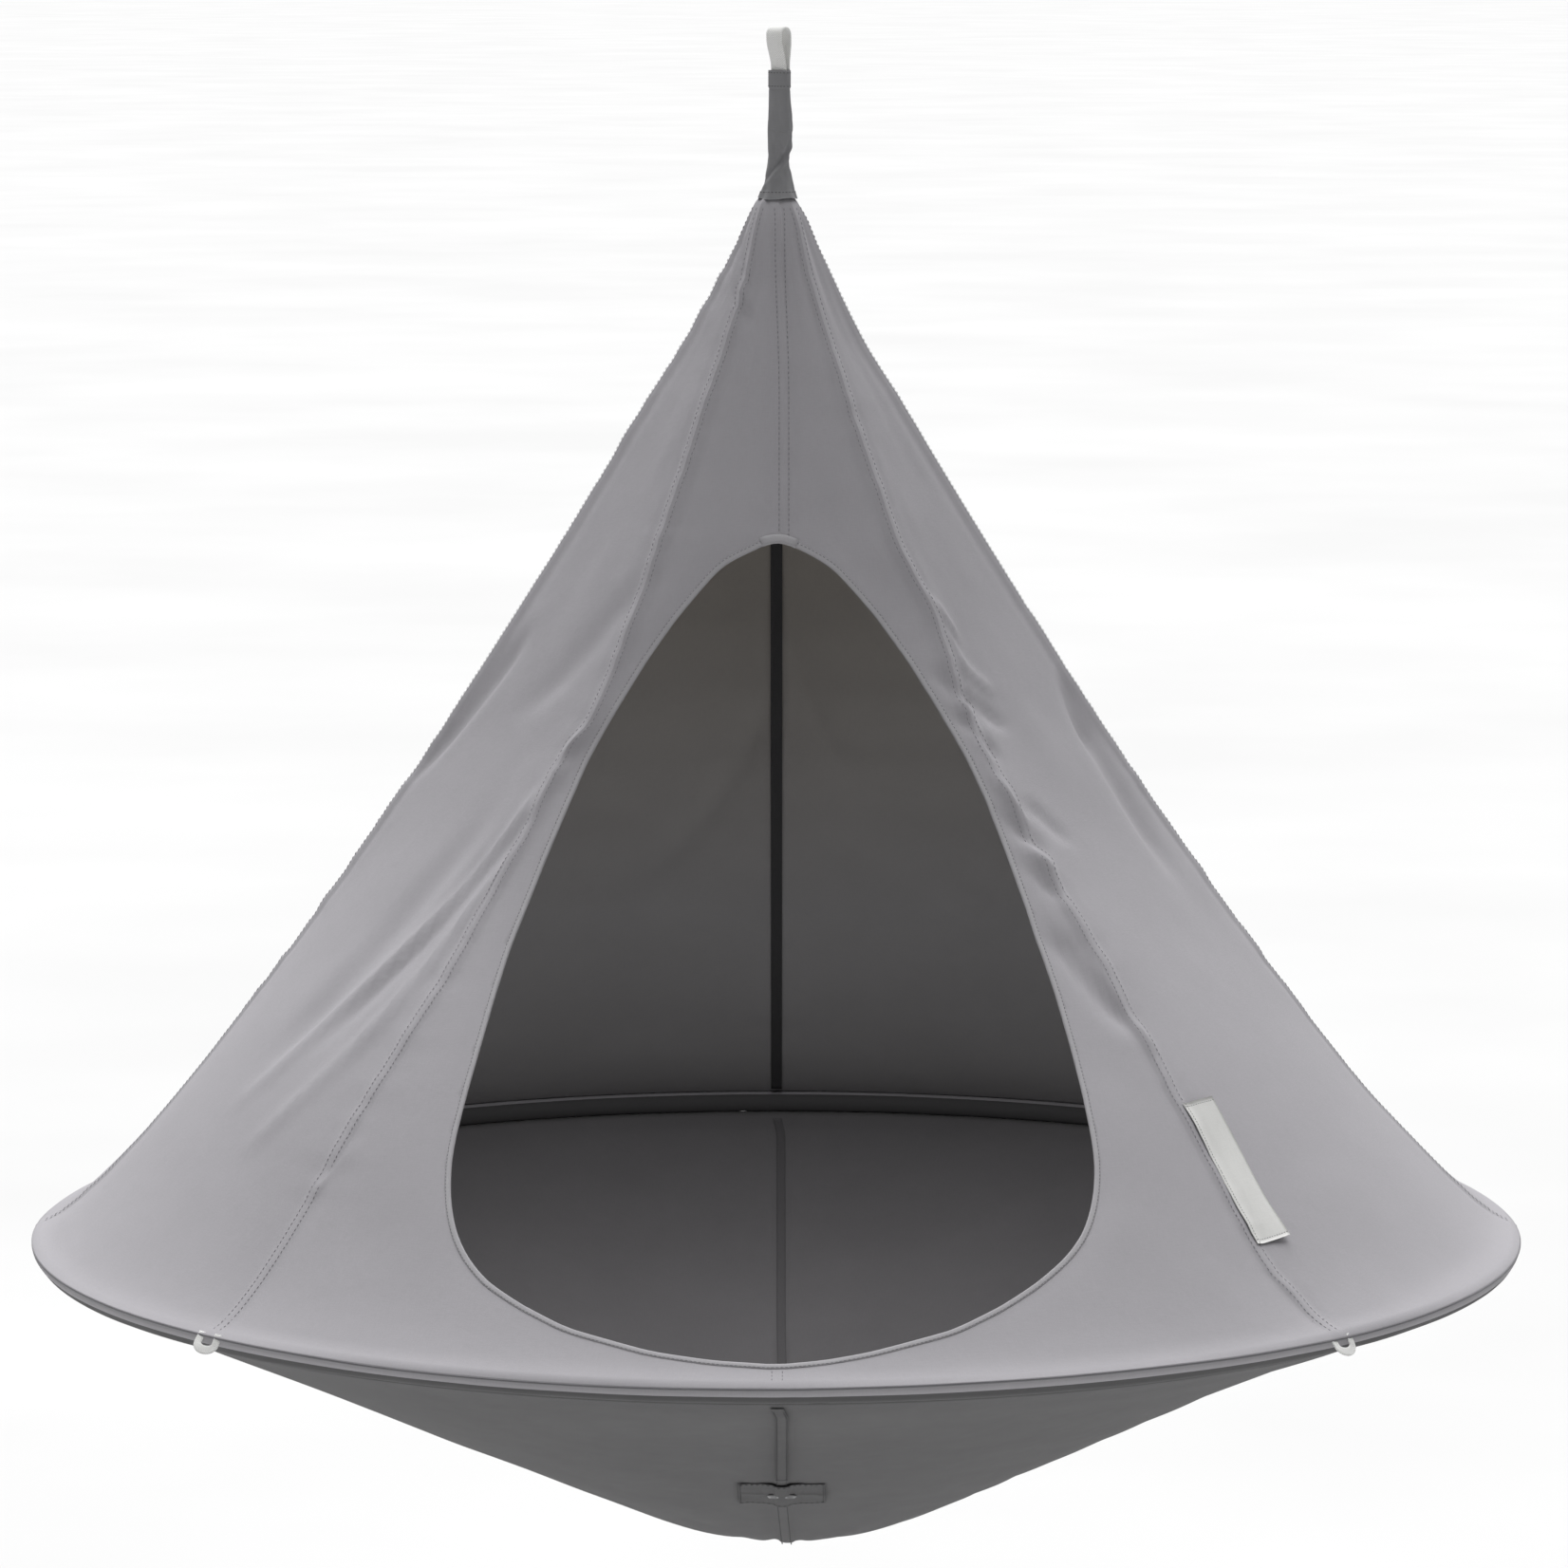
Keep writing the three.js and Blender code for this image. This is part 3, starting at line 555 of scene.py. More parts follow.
def noise_of(tree, vector, scale, detail=2.0, roughness=0.5):
    named = {"Scale": scale, "Detail": detail, "Roughness": roughness, "Vector": vector}
    return add_node(tree, "TexNoise", named=named).outputs["Fac"]


def stretched(tree, vector, scale):
    """Fine streaks: noise that is stretched by a different scale on each axis."""
    return add_node(tree, "Mapping", vector, None, None, scale).outputs[0]


def bump_of(tree, strength, distance, height):
    return add_node(
        tree, "Bump", named={"Strength": strength, "Distance": distance, "Height": height}
    )


def ramp(tree, value, low, high, at=(0.3, 0.7)):
    node = add_node(tree, "ValToRGB", value)
    node.color_ramp.elements[0].position, node.color_ramp.elements[1].position = at
    node.color_ramp.elements[0].color, node.color_ramp.elements[1].color = low, high
    return node.outputs[0]


def grey(value):
    return (value, value, value, 1)


def cloth(
    name,
    colour,
    thread=0.0011,
    contrast=0.10,
    bump=0.35,
    roughness=0.88,
    sheen=0.06,
    twill=False,
    mottle=0.06,
    painted_glow_above=None,
):
    """Woven cloth. Its UV map is in metres, and the threads run along U and V."""
    material, tree, shader = new_material(name)
    place = add_node(tree, "TexCoord")
    uv, where = place.outputs["UV"], place.outputs["Object"]
    across, up, _ = add_node(tree, "SeparateXYZ", uv).outputs
    step = 2 * math.pi / thread

    def plus(a, b):
        return maths(tree, "ADD", a, b)

    def times(a, b):
        return maths(tree, "MULTIPLY", a, b)

    def wave(value, steps):
        return maths(tree, "SINE", times(value, steps))

    if twill:  # webbing: slanted ribs that meet in a chevron along its middle
        ribs = plus(times(maths(tree, "ABSOLUTE", across), step * 0.8), times(up, step))
        weave = plus(times(wave(ribs, 1.0), 0.75), times(wave(across, step * 1.9), 0.25))
    else:  # plain weave: threads that pass over and under each other
        weave = times(wave(across, step), wave(up, step))
    slubs = noise_of(tree, stretched(tree, uv, (90.0, 900.0, 1.0)), 1.0, 3.0)
    ends = noise_of(tree, stretched(tree, uv, (900.0, 90.0, 1.0)), 1.0, 3.0)
    blotch = noise_of(tree, where, 7.0, 4.0, 0.55)
    patches = noise_of(tree, where, 38.0, 3.0, 0.6)

    tone = maths(tree, "MULTIPLY_ADD", weave, contrast / 2, 1.0)
    for source, share in ((slubs, 0.10), (ends, 0.10), (blotch, mottle * 2), (patches, mottle)):
        tone = plus(tone, times(maths(tree, "SUBTRACT", source, 0.5), share))
    base = colour
    # painted light: the base colour turns to another, warmer one higher up, standing in for light
    # that comes through the thin cloth
    if painted_glow_above is not None:
        other, low, high = painted_glow_above
        height = add_node(tree, "SeparateXYZ", where).outputs[2]
        share = add_node(tree, "MapRange", height, low, high, 0.0, 1.0).outputs[0]
        base = mixed(tree, share, colour, other)
    toned = add_node(tree, "CombineColor", tone, tone, tone).outputs[0]
    painted = mixed(tree, 1.0, base, toned, "MULTIPLY")
    tree.links.new(painted, shader.inputs["Base Color"])

    rough = (roughness - 0.05, min(1.0, roughness + 0.06))
    rough = add_node(tree, "MapRange", patches, 0.3, 0.7, *rough)
    tree.links.new(rough.outputs[0], shader.inputs["Roughness"])
    shader.inputs["Sheen Weight"].default_value = sheen
    shader.inputs["Sheen Roughness"].default_value = 0.5
    shader.inputs["Specular IOR Level"].default_value = 0.25

    creases = noise_of(tree, where, 55.0, 4.0, 0.6)
    height = maths(tree, "MULTIPLY_ADD", weave, 0.5, times(slubs, 0.6))
    fine_bump = bump_of(tree, bump, thread * 0.35, height)
    soft_bump = bump_of(tree, 0.25, 0.0012, creases)
    tree.links.new(fine_bump.outputs[0], soft_bump.inputs["Normal"])
    tree.links.new(soft_bump.outputs[0], shader.inputs["Normal"])
    return material


def metal(name, colour, roughness, grain=(4.0, 4.0, 400.0)):
    """Drawn or plated metal with fine scratches along Z and dull spots."""
    material, tree, shader = new_material(name)
    where = add_node(tree, "TexCoord").outputs["Object"]
    streaks = noise_of(tree, stretched(tree, where, grain), 8.0, 3.0)
    spots = noise_of(tree, where, 60.0, 4.0)
    tone = ramp(tree, spots, (*(c * 0.82 for c in colour[:3]), 1), colour)
    tree.links.new(tone, shader.inputs["Base Color"])
    shader.inputs["Metallic"].default_value = 1.0
    worn = add_node(tree, "MapRange", streaks, 0.3, 0.7, roughness * 0.75, roughness * 1.35)
    tree.links.new(worn.outputs[0], shader.inputs["Roughness"])
    bump = bump_of(tree, 0.15, 0.0002, streaks)
    tree.links.new(bump.outputs[0], shader.inputs["Normal"])
    return material


CANVAS = cloth("canopy_canvas", (0.390, 0.379, 0.402, 1), thread=0.0012, contrast=0.08, mottle=0.05)
CANVAS_IN_PAINTED_GLOW = cloth(
    "canopy_canvas_inside_painted_glow",
    (0.38, 0.374, 0.376, 1),
    thread=0.0012,
    contrast=0.08,
    # painted light: the same canvas as outside, warmer higher up where light through the cloth is
    # painted in
    painted_glow_above=((0.39, 0.36, 0.32, 1), RING_Z + 0.25, RING_Z + 0.75),
)
SLEEVE_CLOTH = cloth("ring_sleeve_canvas", (0.39, 0.38, 0.40, 1), thread=0.0012, contrast=0.08)
FLOOR_CLOTH = cloth(
    "floor_canvas", (0.088, 0.087, 0.089, 1), thread=0.0014, contrast=0.12, sheen=0.08,
    roughness=0.82,
)  # fmt: skip
# painted light: the floor's cloth inside the bowl is a lighter copy of the outside cloth (0.205
# against 0.088), standing in for light in the dim tent; the felled seam's copy is lifted too, a
# little less
FLOOR_SEAM_IN_PAINTED_LIGHT = cloth("floor_seam_inside_painted_lighter", (0.145, 0.141, 0.147, 1), thread=0.0014, contrast=0.10)
FLOOR_CLOTH_IN_PAINTED_LIGHT = cloth(
    "floor_canvas_inside_painted_lighter", (0.205, 0.199, 0.207, 1), thread=0.0014, contrast=0.10, mottle=0.09
)
FLOOR_TAPE = cloth("floor_tape", (0.078, 0.077, 0.079, 1), thread=0.0012, roughness=0.7, sheen=0.0)
NECK_CLOTH = cloth("neck_canvas", (0.24, 0.24, 0.248, 1), thread=0.0011, contrast=0.12)
WEBBING = cloth(
    "pale_webbing", (0.88, 0.88, 0.865, 1), thread=0.0021, contrast=0.28, bump=0.8, twill=True
)
STRAP_WEBBING = cloth(
    "dark_webbing", (0.065, 0.065, 0.067, 1), thread=0.0018, contrast=0.3, bump=0.7, twill=True
)
BINDING = cloth("binding_tape", (0.41, 0.402, 0.42, 1), thread=0.0009, contrast=0.14, bump=0.5)
LABEL = cloth("label_satin", (0.68, 0.68, 0.665, 1), thread=0.0007, contrast=0.06, roughness=0.55)
THREAD = cloth("sewing_thread", (0.20, 0.20, 0.21, 1), thread=0.0006, contrast=0.3, sheen=0.1)
DARK_THREAD = cloth("dark_thread", (0.05, 0.05, 0.052, 1), thread=0.0006, contrast=0.3, sheen=0.1)
ALUMINIUM = metal("drawn_aluminium", (0.72, 0.73, 0.75, 1), 0.3)
STEEL = metal("plated_steel", (0.62, 0.62, 0.60, 1), 0.28)
DARK_STEEL = metal("blackened_steel", (0.24, 0.24, 0.245, 1), 0.34)

# ---------------------------------------------------------------------------------------------
# mesh helpers


def add_object(name, vertices, faces, materials, uvs=None, material_of=None):
    """A smooth mesh. uvs holds one (u, v) for each corner of each face, in metres."""
    mesh = bpy.data.meshes.new(name)
    mesh.from_pydata(np.asarray(vertices, float).tolist(), [], faces)
    mesh.shade_smooth()
    if uvs is not None:
        layer = mesh.uv_layers.new(name="metres")
        layer.data.foreach_set("uv", np.asarray(uvs, np.float32).ravel())
    for material in materials if isinstance(materials, (list, tuple)) else [materials]:
        mesh.materials.append(material)
    if material_of is not None:
        mesh.polygons.foreach_set("material_index", np.asarray(material_of, np.int32))
    mesh.validate()
    mesh.update()
    made = add_to_scene(name, mesh)
    return made


def corner_uvs(faces, values, round_trip=None):
    """The UV of each corner. Where u comes round to its start, round_trip is its full length."""
    values = np.asarray(values, float)
    corners = values[np.concatenate([np.asarray(face) for face in faces])].copy()
    if round_trip:
        sizes = np.array([len(face) for face in faces])
        start = np.cumsum(sizes) - sizes
        most = np.repeat(np.maximum.reduceat(corners[:, 0], start), sizes)
        corners[:, 0] += round_trip * (most - corners[:, 0] > round_trip / 2)
    return corners


def grid_faces(rows, columns, closed_rows=False, closed_columns=False):
    """Quads of a grid of rows by columns; a closed direction joins its end to its start."""
    faces = []
    for r in range(rows if closed_rows else rows - 1):
        for c in range(columns if closed_columns else columns - 1):
            r1, c1 = (r + 1) % rows, (c + 1) % columns
            faces.append((r * columns + c, r * columns + c1, r1 * columns + c1, r1 * columns + c))
    return faces


def solid_sheet(name, points, normals, thickness, materials, closed=False):
    """A sheet with two faces from a grid of points: rows run along it, columns across it."""
    rows, columns = points.shape[:2]
    inner = points - normals * thickness
    vertices = np.vstack([points.reshape(-1, 3), inner.reshape(-1, 3)])
    count = rows * columns
    top = grid_faces(rows, columns, closed_columns=closed)
    faces = list(top) + [tuple(i + count for i in face[::-1]) for face in top]
    outer_index = [0] * len(top) + [1] * len(top)
    index = np.arange(count).reshape(rows, columns)
    edges = [index[0][::-1], index[-1]]
    if not closed:
        edges += [index[:, 0], index[::-1, -1]]
    for edge in edges:
        pairs = list(zip(edge[:-1], edge[1:]))
        if closed:
            pairs.append((edge[-1], edge[0]))
        for a, b in pairs:
            faces.append((int(b), int(a), int(a) + count, int(b) + count))
            outer_index.append(0)
    widths = np.linalg.norm(np.diff(points, axis=1, append=points[:, :1]), axis=2)
    u = np.cumsum(widths, 1) - widths
    girth = widths.sum(1).mean()
    v = run_length(points[:, columns // 2])
    uv = np.stack([u, np.broadcast_to(v[:, None], u.shape)], -1)
    if closed:
        uv[..., 0] *= girth / widths.sum(1)[:, None]
    else:
        uv[..., 0] -= u[:, -1:] / 2
    uv = np.vstack([uv.reshape(-1, 2)] * 2)
    several = isinstance(materials, (list, tuple)) and len(materials) > 1
    corners = corner_uvs(faces, uv, girth if closed else None)
    return add_object(
        name, vertices, faces, materials, corners, outer_index if several else None
    )


def sweep(name, centres, sides, normals, section, material, closed=False):
    """A strip along centres. section is a closed outline of (across, out) in metres."""
    section = np.asarray(section, float)
    points = (
        centres[:, None]
        + section[None, :, :1] * sides[:, None]
        + section[None, :, 1:] * normals[:, None]
    )
    rows, columns = points.shape[:2]
    faces = grid_faces(rows, columns, closed_rows=closed, closed_columns=True)
    uv = together(section[:, 0], run_length(centres)[:, None])
    uv = np.stack(uv, -1).reshape(-1, 2)
    if not closed:
        faces.append(tuple(range(columns))[::-1])
        faces.append(tuple(range((rows - 1) * columns, rows * columns)))
    return closed_body(name, points, faces, uv, material)


def closed_body(name, points, faces, uv, material):
    """An object from a grid of points whose faces enclose a body, with its outside outwards."""
    faces = fix_winding(points, faces)
    uvs = corner_uvs(faces, uv)
    return add_object(name, points.reshape(-1, 3), faces, material, uvs, None)


def fix_winding(points, faces):
    """Turns every face over if the closed body they make is inside out."""
    flat = points.reshape(-1, 3)
    volume = 0.0
    for face in faces:
        a = flat[face[0]]
        for i in range(1, len(face) - 1):
            volume += np.dot(a, np.cross(flat[face[i]], flat[face[i + 1]]))
    return faces if volume > 0 else [face[::-1] for face in faces]


def tape_section(width, thickness, edge=0.25):
    """The outline of a flat woven tape with rounded edges, its back at out 0."""
    w, t = width / 2, thickness
    e = t * edge
    back = [(-w, e), (-w + e, 0), (-w / 2, 0), (0, 0), (w / 2, 0), (w - e, 0), (w, e)]
    crown = [(w / 2, t * 1.06), (0, t * 1.1), (-w / 2, t * 1.06)]
    return [*back, (w, t - e), (w - e, t), *crown, (-w + e, t), (-w, t - e)]


def spaced(points, pitch, closed=False):
    """Places at even steps along a path: (index before, share of the way to the next)."""
    path = np.vstack([points, points[:1]]) if closed else points
    length = run_length(path)
    count = max(2, int(length[-1] / pitch))
    targets = (np.arange(count) + 0.5) * length[-1] / count
    at = np.searchsorted(length, targets) - 1
    share = (targets - length[at]) / np.maximum(length[at + 1] - length[at], 1e-9)
    return path, at, share[:, None]


def stitches(name, paths, material, pitch=0.005, length=0.0034, radius=0.00034):
    """Rows of stitches, joined in one mesh. Each path is (points, outward normals, closed)."""
    vertices, faces = [], []
    for points, normals, closed in paths:
        path, at, share = spaced(points, pitch, closed)
        both = np.vstack([normals, normals[:1]]) if closed else normals
        centre = path[at] * (1 - share) + path[at + 1] * share
        out = unit(both[at] * (1 - share) + both[at + 1] * share)
        ahead = unit(path[at + 1] - path[at])
        side = unit(np.cross(ahead, out))
        for c, o, a, s in zip(centre, out, ahead, side):
            first = len(vertices)
            vertices.append(c - a * length / 2 - o * radius)
            for shift in (-0.28, 0.28):
                for x, y in ((1, 0), (0, 1), (-1, 0), (0, -0.6)):
                    vertices.append(c + a * length * shift + s * x * radius + o * y * radius)
            vertices.append(c + a * length / 2 - o * radius)
            for i in range(4):
                j = (i + 1) % 4
                faces.append((first, first + 1 + j, first + 1 + i))
                faces.append((first + 1 + i, first + 1 + j, first + 5 + j, first + 5 + i))
                faces.append((first + 9, first + 5 + i, first + 5 + j))
    vertices = np.array(vertices)
    uv = vertices[:, :2] + vertices[:, 2:]
    return add_object(name, vertices, faces, material, corner_uvs(faces, uv), None)


def squash_with_ring(piece):
    """Fixes the piece to the crown's body and gives it a mesh of its own."""
    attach(piece, "crown")
    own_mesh(piece)


def squash_with_floor(piece):
    """Fixes the piece to the ring's body and gives it a mesh of its own."""
    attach(piece, "ring")
    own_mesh(piece)


# ---------------------------------------------------------------------------------------------
# the canopy: one continuous sheet with the doorway cut out of it

GORE_COLUMNS = 46
ROWS = 170
EAVE_ROWS = 8


def gore_shares():
    """Where the columns of a gore lie, closer together at its seams."""
    edge = np.array([0, 0.0028, 0.0058, 0.0076, 0.011, 0.017, 0.026]) / 0.42
    inner = np.linspace(edge[-1], 0.5, GORE_COLUMNS // 2 - len(edge) + 2)[1:]
    half = np.concatenate([edge, inner])
    return np.concatenate([half, 1 - half[-2:0:-1]])


def canopy_grid():
    shares = gore_shares()
    azimuths = np.concatenate([-180 + 45 * (g + shares) for g in range(8)])
    rows = np.concatenate(
        [np.linspace(0, CONTACT, ROWS), np.linspace(CONTACT, LENGTH, EAVE_ROWS + 1)[1:]]
    )
    return azimuths, rows


def outside_door(azimuth, along):
    smooth = canopy(azimuth, along, plain=True)
    return door_distance(smooth[..., 0], smooth[..., 2] - RING_Z, smooth[..., 1])


def in_order(pairs):
    """The numbers in the order in which the pairs link them into one loop."""
    neighbours = {}
    for a, b in pairs:
        neighbours.setdefault(a, []).append(b)
        neighbours.setdefault(b, []).append(a)
    order, last = [0], None
    while True:
        ahead = [n for n in neighbours[order[-1]] if n != last]
        if not ahead or (ahead[0] == order[0] and len(order) > 2):
            return order
        last = order[-1]
        order.append(ahead[0])


def gore_uvs(azimuth, along, faces):
    """The UV of each corner: the threads of each gore run down its middle line."""
    middles = [azimuth[face].mean() if np.ptp(azimuth[face]) < 90 else 179.9 for face in faces]
    gore = np.floor((np.array(middles) + 180) / 45)
    corners = np.concatenate([np.asarray(face) for face in faces])
    middle = np.repeat(-180 + 45 * gore + 22.5, [len(face) for face in faces])
    turn = half_turn(azimuth[corners] - middle)
    return np.stack([np.radians(turn) * profile(along[corners])[0], along[corners]], 1)


def make_canopy():
    """Returns the canopy and the doorway's edge as (azimuth, along) in order round it."""
    azimuths, rows = canopy_grid()
    columns = len(azimuths)
    along, azimuth = np.meshgrid(rows, azimuths, indexing="ij")
    away = outside_door(azimuth, along)
    azimuth, along, away = azimuth.ravel(), along.ravel(), away.ravel()
    faces, crossings, edge_pairs = [], {}, []
    for quad in grid_faces(len(rows), columns, closed_columns=True):
        kept = [away[i] > 0 for i in quad]
        if all(kept):
            faces.append(quad)
            continue
        if not any(kept):
            continue
        loop, cut = [], []
        for n in range(4):
            i, j = quad[n], quad[(n + 1) % 4]
            if kept[n]:
                loop.append(i)
            if kept[n] != kept[(n + 1) % 4]:
                key = (i, j) if kept[n] else (j, i)
                number = crossings.setdefault(key, len(crossings))
                loop.append(-1 - number)
                cut.append(number)
        faces.append(loop)
        edge_pairs.append(tuple(cut[:2]))
    pairs = np.array(list(crossings))
    low, high = np.zeros(len(pairs)), np.ones(len(pairs))
    ends = [(azimuth[pairs[:, k]], along[pairs[:, k]]) for k in (0, 1)]

    def between(share):
        return [a + (b - a) * share for a, b in zip(*ends)]

    for _ in range(14):
        middle = (low + high) / 2
        outside = outside_door(*between(middle)) > 0
        low, high = np.where(outside, middle, low), np.where(outside, high, middle)
    edge_azimuth, edge_along = between((low + high) / 2)

    total = len(azimuth)
    azimuth = np.concatenate([azimuth, edge_azimuth])
    along = np.concatenate([along, edge_along])
    faces = [[i if i >= 0 else total - 1 - i for i in face][::-1] for face in faces]
    points = canopy(azimuth, along)
    uv = gore_uvs(azimuth, along, faces)
    made = add_object("canopy", points, faces, [CANVAS, CANVAS_IN_PAINTED_GLOW], uv, None)
    thick = made.modifiers.new("cloth", "SOLIDIFY")
    thick.thickness = THICKNESS
    thick.offset = -1
    thick.material_offset = 1
    apply_modifiers(made)

    order = in_order(edge_pairs)
    return made, edge_azimuth[order], edge_along[order]


def apply_modifiers(made):
    bpy.context.view_layer.update()
    graph = bpy.context.evaluated_depsgraph_get()
    mesh = bpy.data.meshes.new_from_object(made.evaluated_get(graph))
    made.modifiers.clear()
    made.data = mesh


canopy_piece, door_azimuth, door_along = make_canopy()
NODES = frame["nodes"]
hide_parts(*[n for n in NODES if n.startswith("canopy_panel")])
squash_with_ring(canopy_piece)

# ---- the doorway's binding: a folded tape whose ends overlap at the top ----


def door_path(lift, outwards, count=420):
    """Even places round the doorway's edge: points, the way out of the doorway, normals."""
    steps = canopy(door_azimuth, door_along, plain=True)
    closed = np.vstack([steps, steps[:1]])
    length = run_length(closed)
    at = np.linspace(0, length[-1], count, endpoint=False)
    azimuth = np.interp(at, length, np.append(door_azimuth, door_azimuth[0]))
    along = np.interp(at, length, np.append(door_along, door_along[0]))
    point, _, _, normal = canopy_frame(azimuth, along, lift)
    ahead = unit(np.roll(point, -1, 0) - np.roll(point, 1, 0))
    side = unit(np.cross(ahead, normal))
    middle = point.mean(0)
    if np.mean(((point - middle) * side).sum(1)) < 0:
        side = -side
    return point + side * outwards, side, normal


FOLD = [
    (-0.0021, -0.0004), (-0.0016, 0.0012), (0.0, 0.0016), (0.0030, 0.0013), (0.0052, 0.0010),
    (0.0056, 0.0004), (0.0050, 0.0001), (0.0045, -0.0013), (0.0052, -0.0016), (0.0048, -0.0024),
    (0.0030, -0.0027), (0.0, -0.0028), (-0.0016, -0.0022),
]  # fmt: skip
FOLD = np.asarray(FOLD) * (0.78, 0.72)
path, side, normal = door_path(0, 0)
binding = sweep(
    "door_binding_tape", path, side, normal, FOLD, BINDING, closed=True
)
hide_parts("door_binding")
squash_with_ring(binding)

wide = FOLD * (1.6, 1.45) + (0.0006, 0)
top = np.flatnonzero((path[:, 2] - RING_Z > DOOR_TOP - 0.02) & (np.abs(path[:, 0]) < 0.0195))
top = top[np.argsort(path[top, 0])]
join = sweep(
    "door_binding_overlap", path[top], side[top], normal[top], wide, BINDING
)
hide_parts("door_binding_join")
squash_with_ring(join)

stitch_path, _, stitch_normal = door_path(0.0009, 0.0033, 900)
sewn = stitches(
    "door_stitching", [(stitch_path, stitch_normal, True)], THREAD, pitch=0.0042,
)
squash_with_ring(sewn)

# ---- straps inside the seams, and the stitching on the seams ----


def lowest_cloth(azimuth, along, half_width=0.007):
    """How far the cloth comes in from its seam's line, at its most over a strap's width."""
    radius, height, _, _ = profile(along)
    reach = canopy_radius(np.full(len(along), float(azimuth)), radius, height)
    least = np.full(len(along), 1.0)
    for aside in np.linspace(-half_width, half_width, 7):
        turned = half_turn(azimuth + np.degrees(aside / reach))
        corner = canopy_radius(turned, radius, height) * np.cos(aside / reach) - reach
        moved = relief(turned, along, radius, height, reach, np.ones(len(along)))
        least = np.minimum(least, moved + corner)
    near = np.stack([np.roll(least, step) for step in (-1, 0, 1)])
    return np.minimum(near.min(0), least)


def seam_rows(azimuth, start, end, lift, aside=0.0, count=150):
    along = np.linspace(start, end, count)
    point, down, across, normal = canopy_frame(np.full(count, float(azimuth)), along, lift)
    return point + across * aside, down, across, normal


STRAPS = {
    "front_right": 45,
    "right": 90,
    "back_right": 135,
    "back": 180,
    "back_left": -135,
    "left": -90,
    "front_left": -45,
}
for place, azimuth in STRAPS.items():
    along = np.linspace(0.03, LENGTH - 0.034, 220)
    azimuths = np.full(220, float(azimuth))
    _, _, across, normal = canopy_frame(azimuths, along)
    under = lowest_cloth(azimuth, along) - THICKNESS - 0.0022
    point = canopy(azimuths, along, under, plain=True)
    strap = sweep(
        f"strap_{place}", point, across, normal, tape_section(0.012, 0.0016), STRAP_WEBBING,
    )
    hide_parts(f"seam_strap_{place}")
    squash_with_ring(strap)

door_top_along = float(along_at(DOOR_TOP)) - 0.004
along = np.linspace(0.03, door_top_along, 80)
_, _, across, normal = canopy_frame(np.zeros(80), along)
point = canopy(np.zeros(80), along, lowest_cloth(0, along) - THICKNESS - 0.0018, plain=True)
tape = sweep(
    "front_tape", point, across, normal, tape_section(0.012, 0.0012), CANVAS_IN_PAINTED_GLOW
)
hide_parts("front_seam_tape")
squash_with_ring(tape)

rows = []
for azimuth in STRAPS.values():
    for aside in (-0.0045, 0.0045):
        point, _, _, normal = seam_rows(azimuth, 0.012, LENGTH - 0.010, 0.0, aside, 400)
        rows.append((point, normal, False))
sill_along = float(along_at(DOOR_SILL))
for start, end in ((0.012, door_top_along), (sill_along + 0.006, LENGTH - 0.010)):
    for aside in (-0.0048, 0.0048):
        point, _, _, normal = seam_rows(0, start, end, 0.0, aside, 200)
        rows.append((point, normal, False))
around = np.linspace(-180, 180, 721)[:-1]
point, _, _, normal = canopy_frame(around, np.full(720, CONTACT - CASING), 0.0)
rows.append((point, normal, True))
seam_stitching = stitches("seam_stitching", rows, THREAD, pitch=0.0052)
squash_with_ring(seam_stitching)

# ---- label: sewn along its left edge, its right edge stands off a little; left blank ----


def make_label():
    width, rows, columns = 0.042, 40, 14
    across_share = evenly(columns)
    along = np.linspace(float(along_at(0.198)), float(along_at(0.078)), rows)
    share = evenly(rows)[:, None]
    radius, height, _, _ = profile(along)
    reach = canopy_radius(np.full(rows, 45.0), radius, height)
    azimuth = 45 + np.degrees((0.001 + across_share[None] * width) / reach[:, None])
    stand = 0.0016 + 0.0050 * across_share[None] ** 1.6 * (0.55 + 0.45 * np.cos(5.2 * share + 0.6))
    stand = stand + 0.0008 * np.sin(9 * share + 4 * across_share[None])
    point, _, _, normal = canopy_frame(azimuth, np.broadcast_to(along[:, None], azimuth.shape))
    point = point + normal * stand[..., None]
    return (
        solid_sheet("label_patch", point, normal, 0.0006, LABEL),
        point,
        normal,
    )


label, point, normal = make_label()
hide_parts("label")
squash_with_ring(label)
hem_rows = [
    (point[:, 1] + normal[:, 1] * 0.0001, normal[:, 1], False),
    (point[1] + normal[1] * 0.0001, normal[1], False),
    (point[-2] + normal[-2] * 0.0001, normal[-2], False),
]
label_sewn = stitches(
    "label_stitching", hem_rows, THREAD, pitch=0.003, length=0.002, radius=0.0003,
)
squash_with_ring(label_sewn)

# ---------------------------------------------------------------------------------------------
# the ring: cloth sleeve round the tube, and the seam that joins canopy, sleeve and floor, with a dark
# cord on the seam as its painted shadow line

RING_STEPS = 360
FLOOR_CLOTH_ROWS = (4, 29)  # the sleeve's rows, counted from the ring's seam, in the floor's cloth
sleeve_noise = Noise(21, repeat=72)


def ring_point(azimuth, angle, radius):
    """A point round the tube: angle 0 is outermost, 90 degrees on top."""
    reach = RING_RADIUS + radius * np.cos(angle)
    turn = np.radians(azimuth)
    return np.stack(
        [reach * np.sin(turn), -reach * np.cos(turn), TUBE_Z + radius * np.sin(angle)], -1
    )


def ring_normal(azimuth, angle):
    turn = np.radians(azimuth)
    out = np.cos(angle)
    return np.stack([out * np.sin(turn), -out * np.cos(turn), np.sin(angle)], -1)


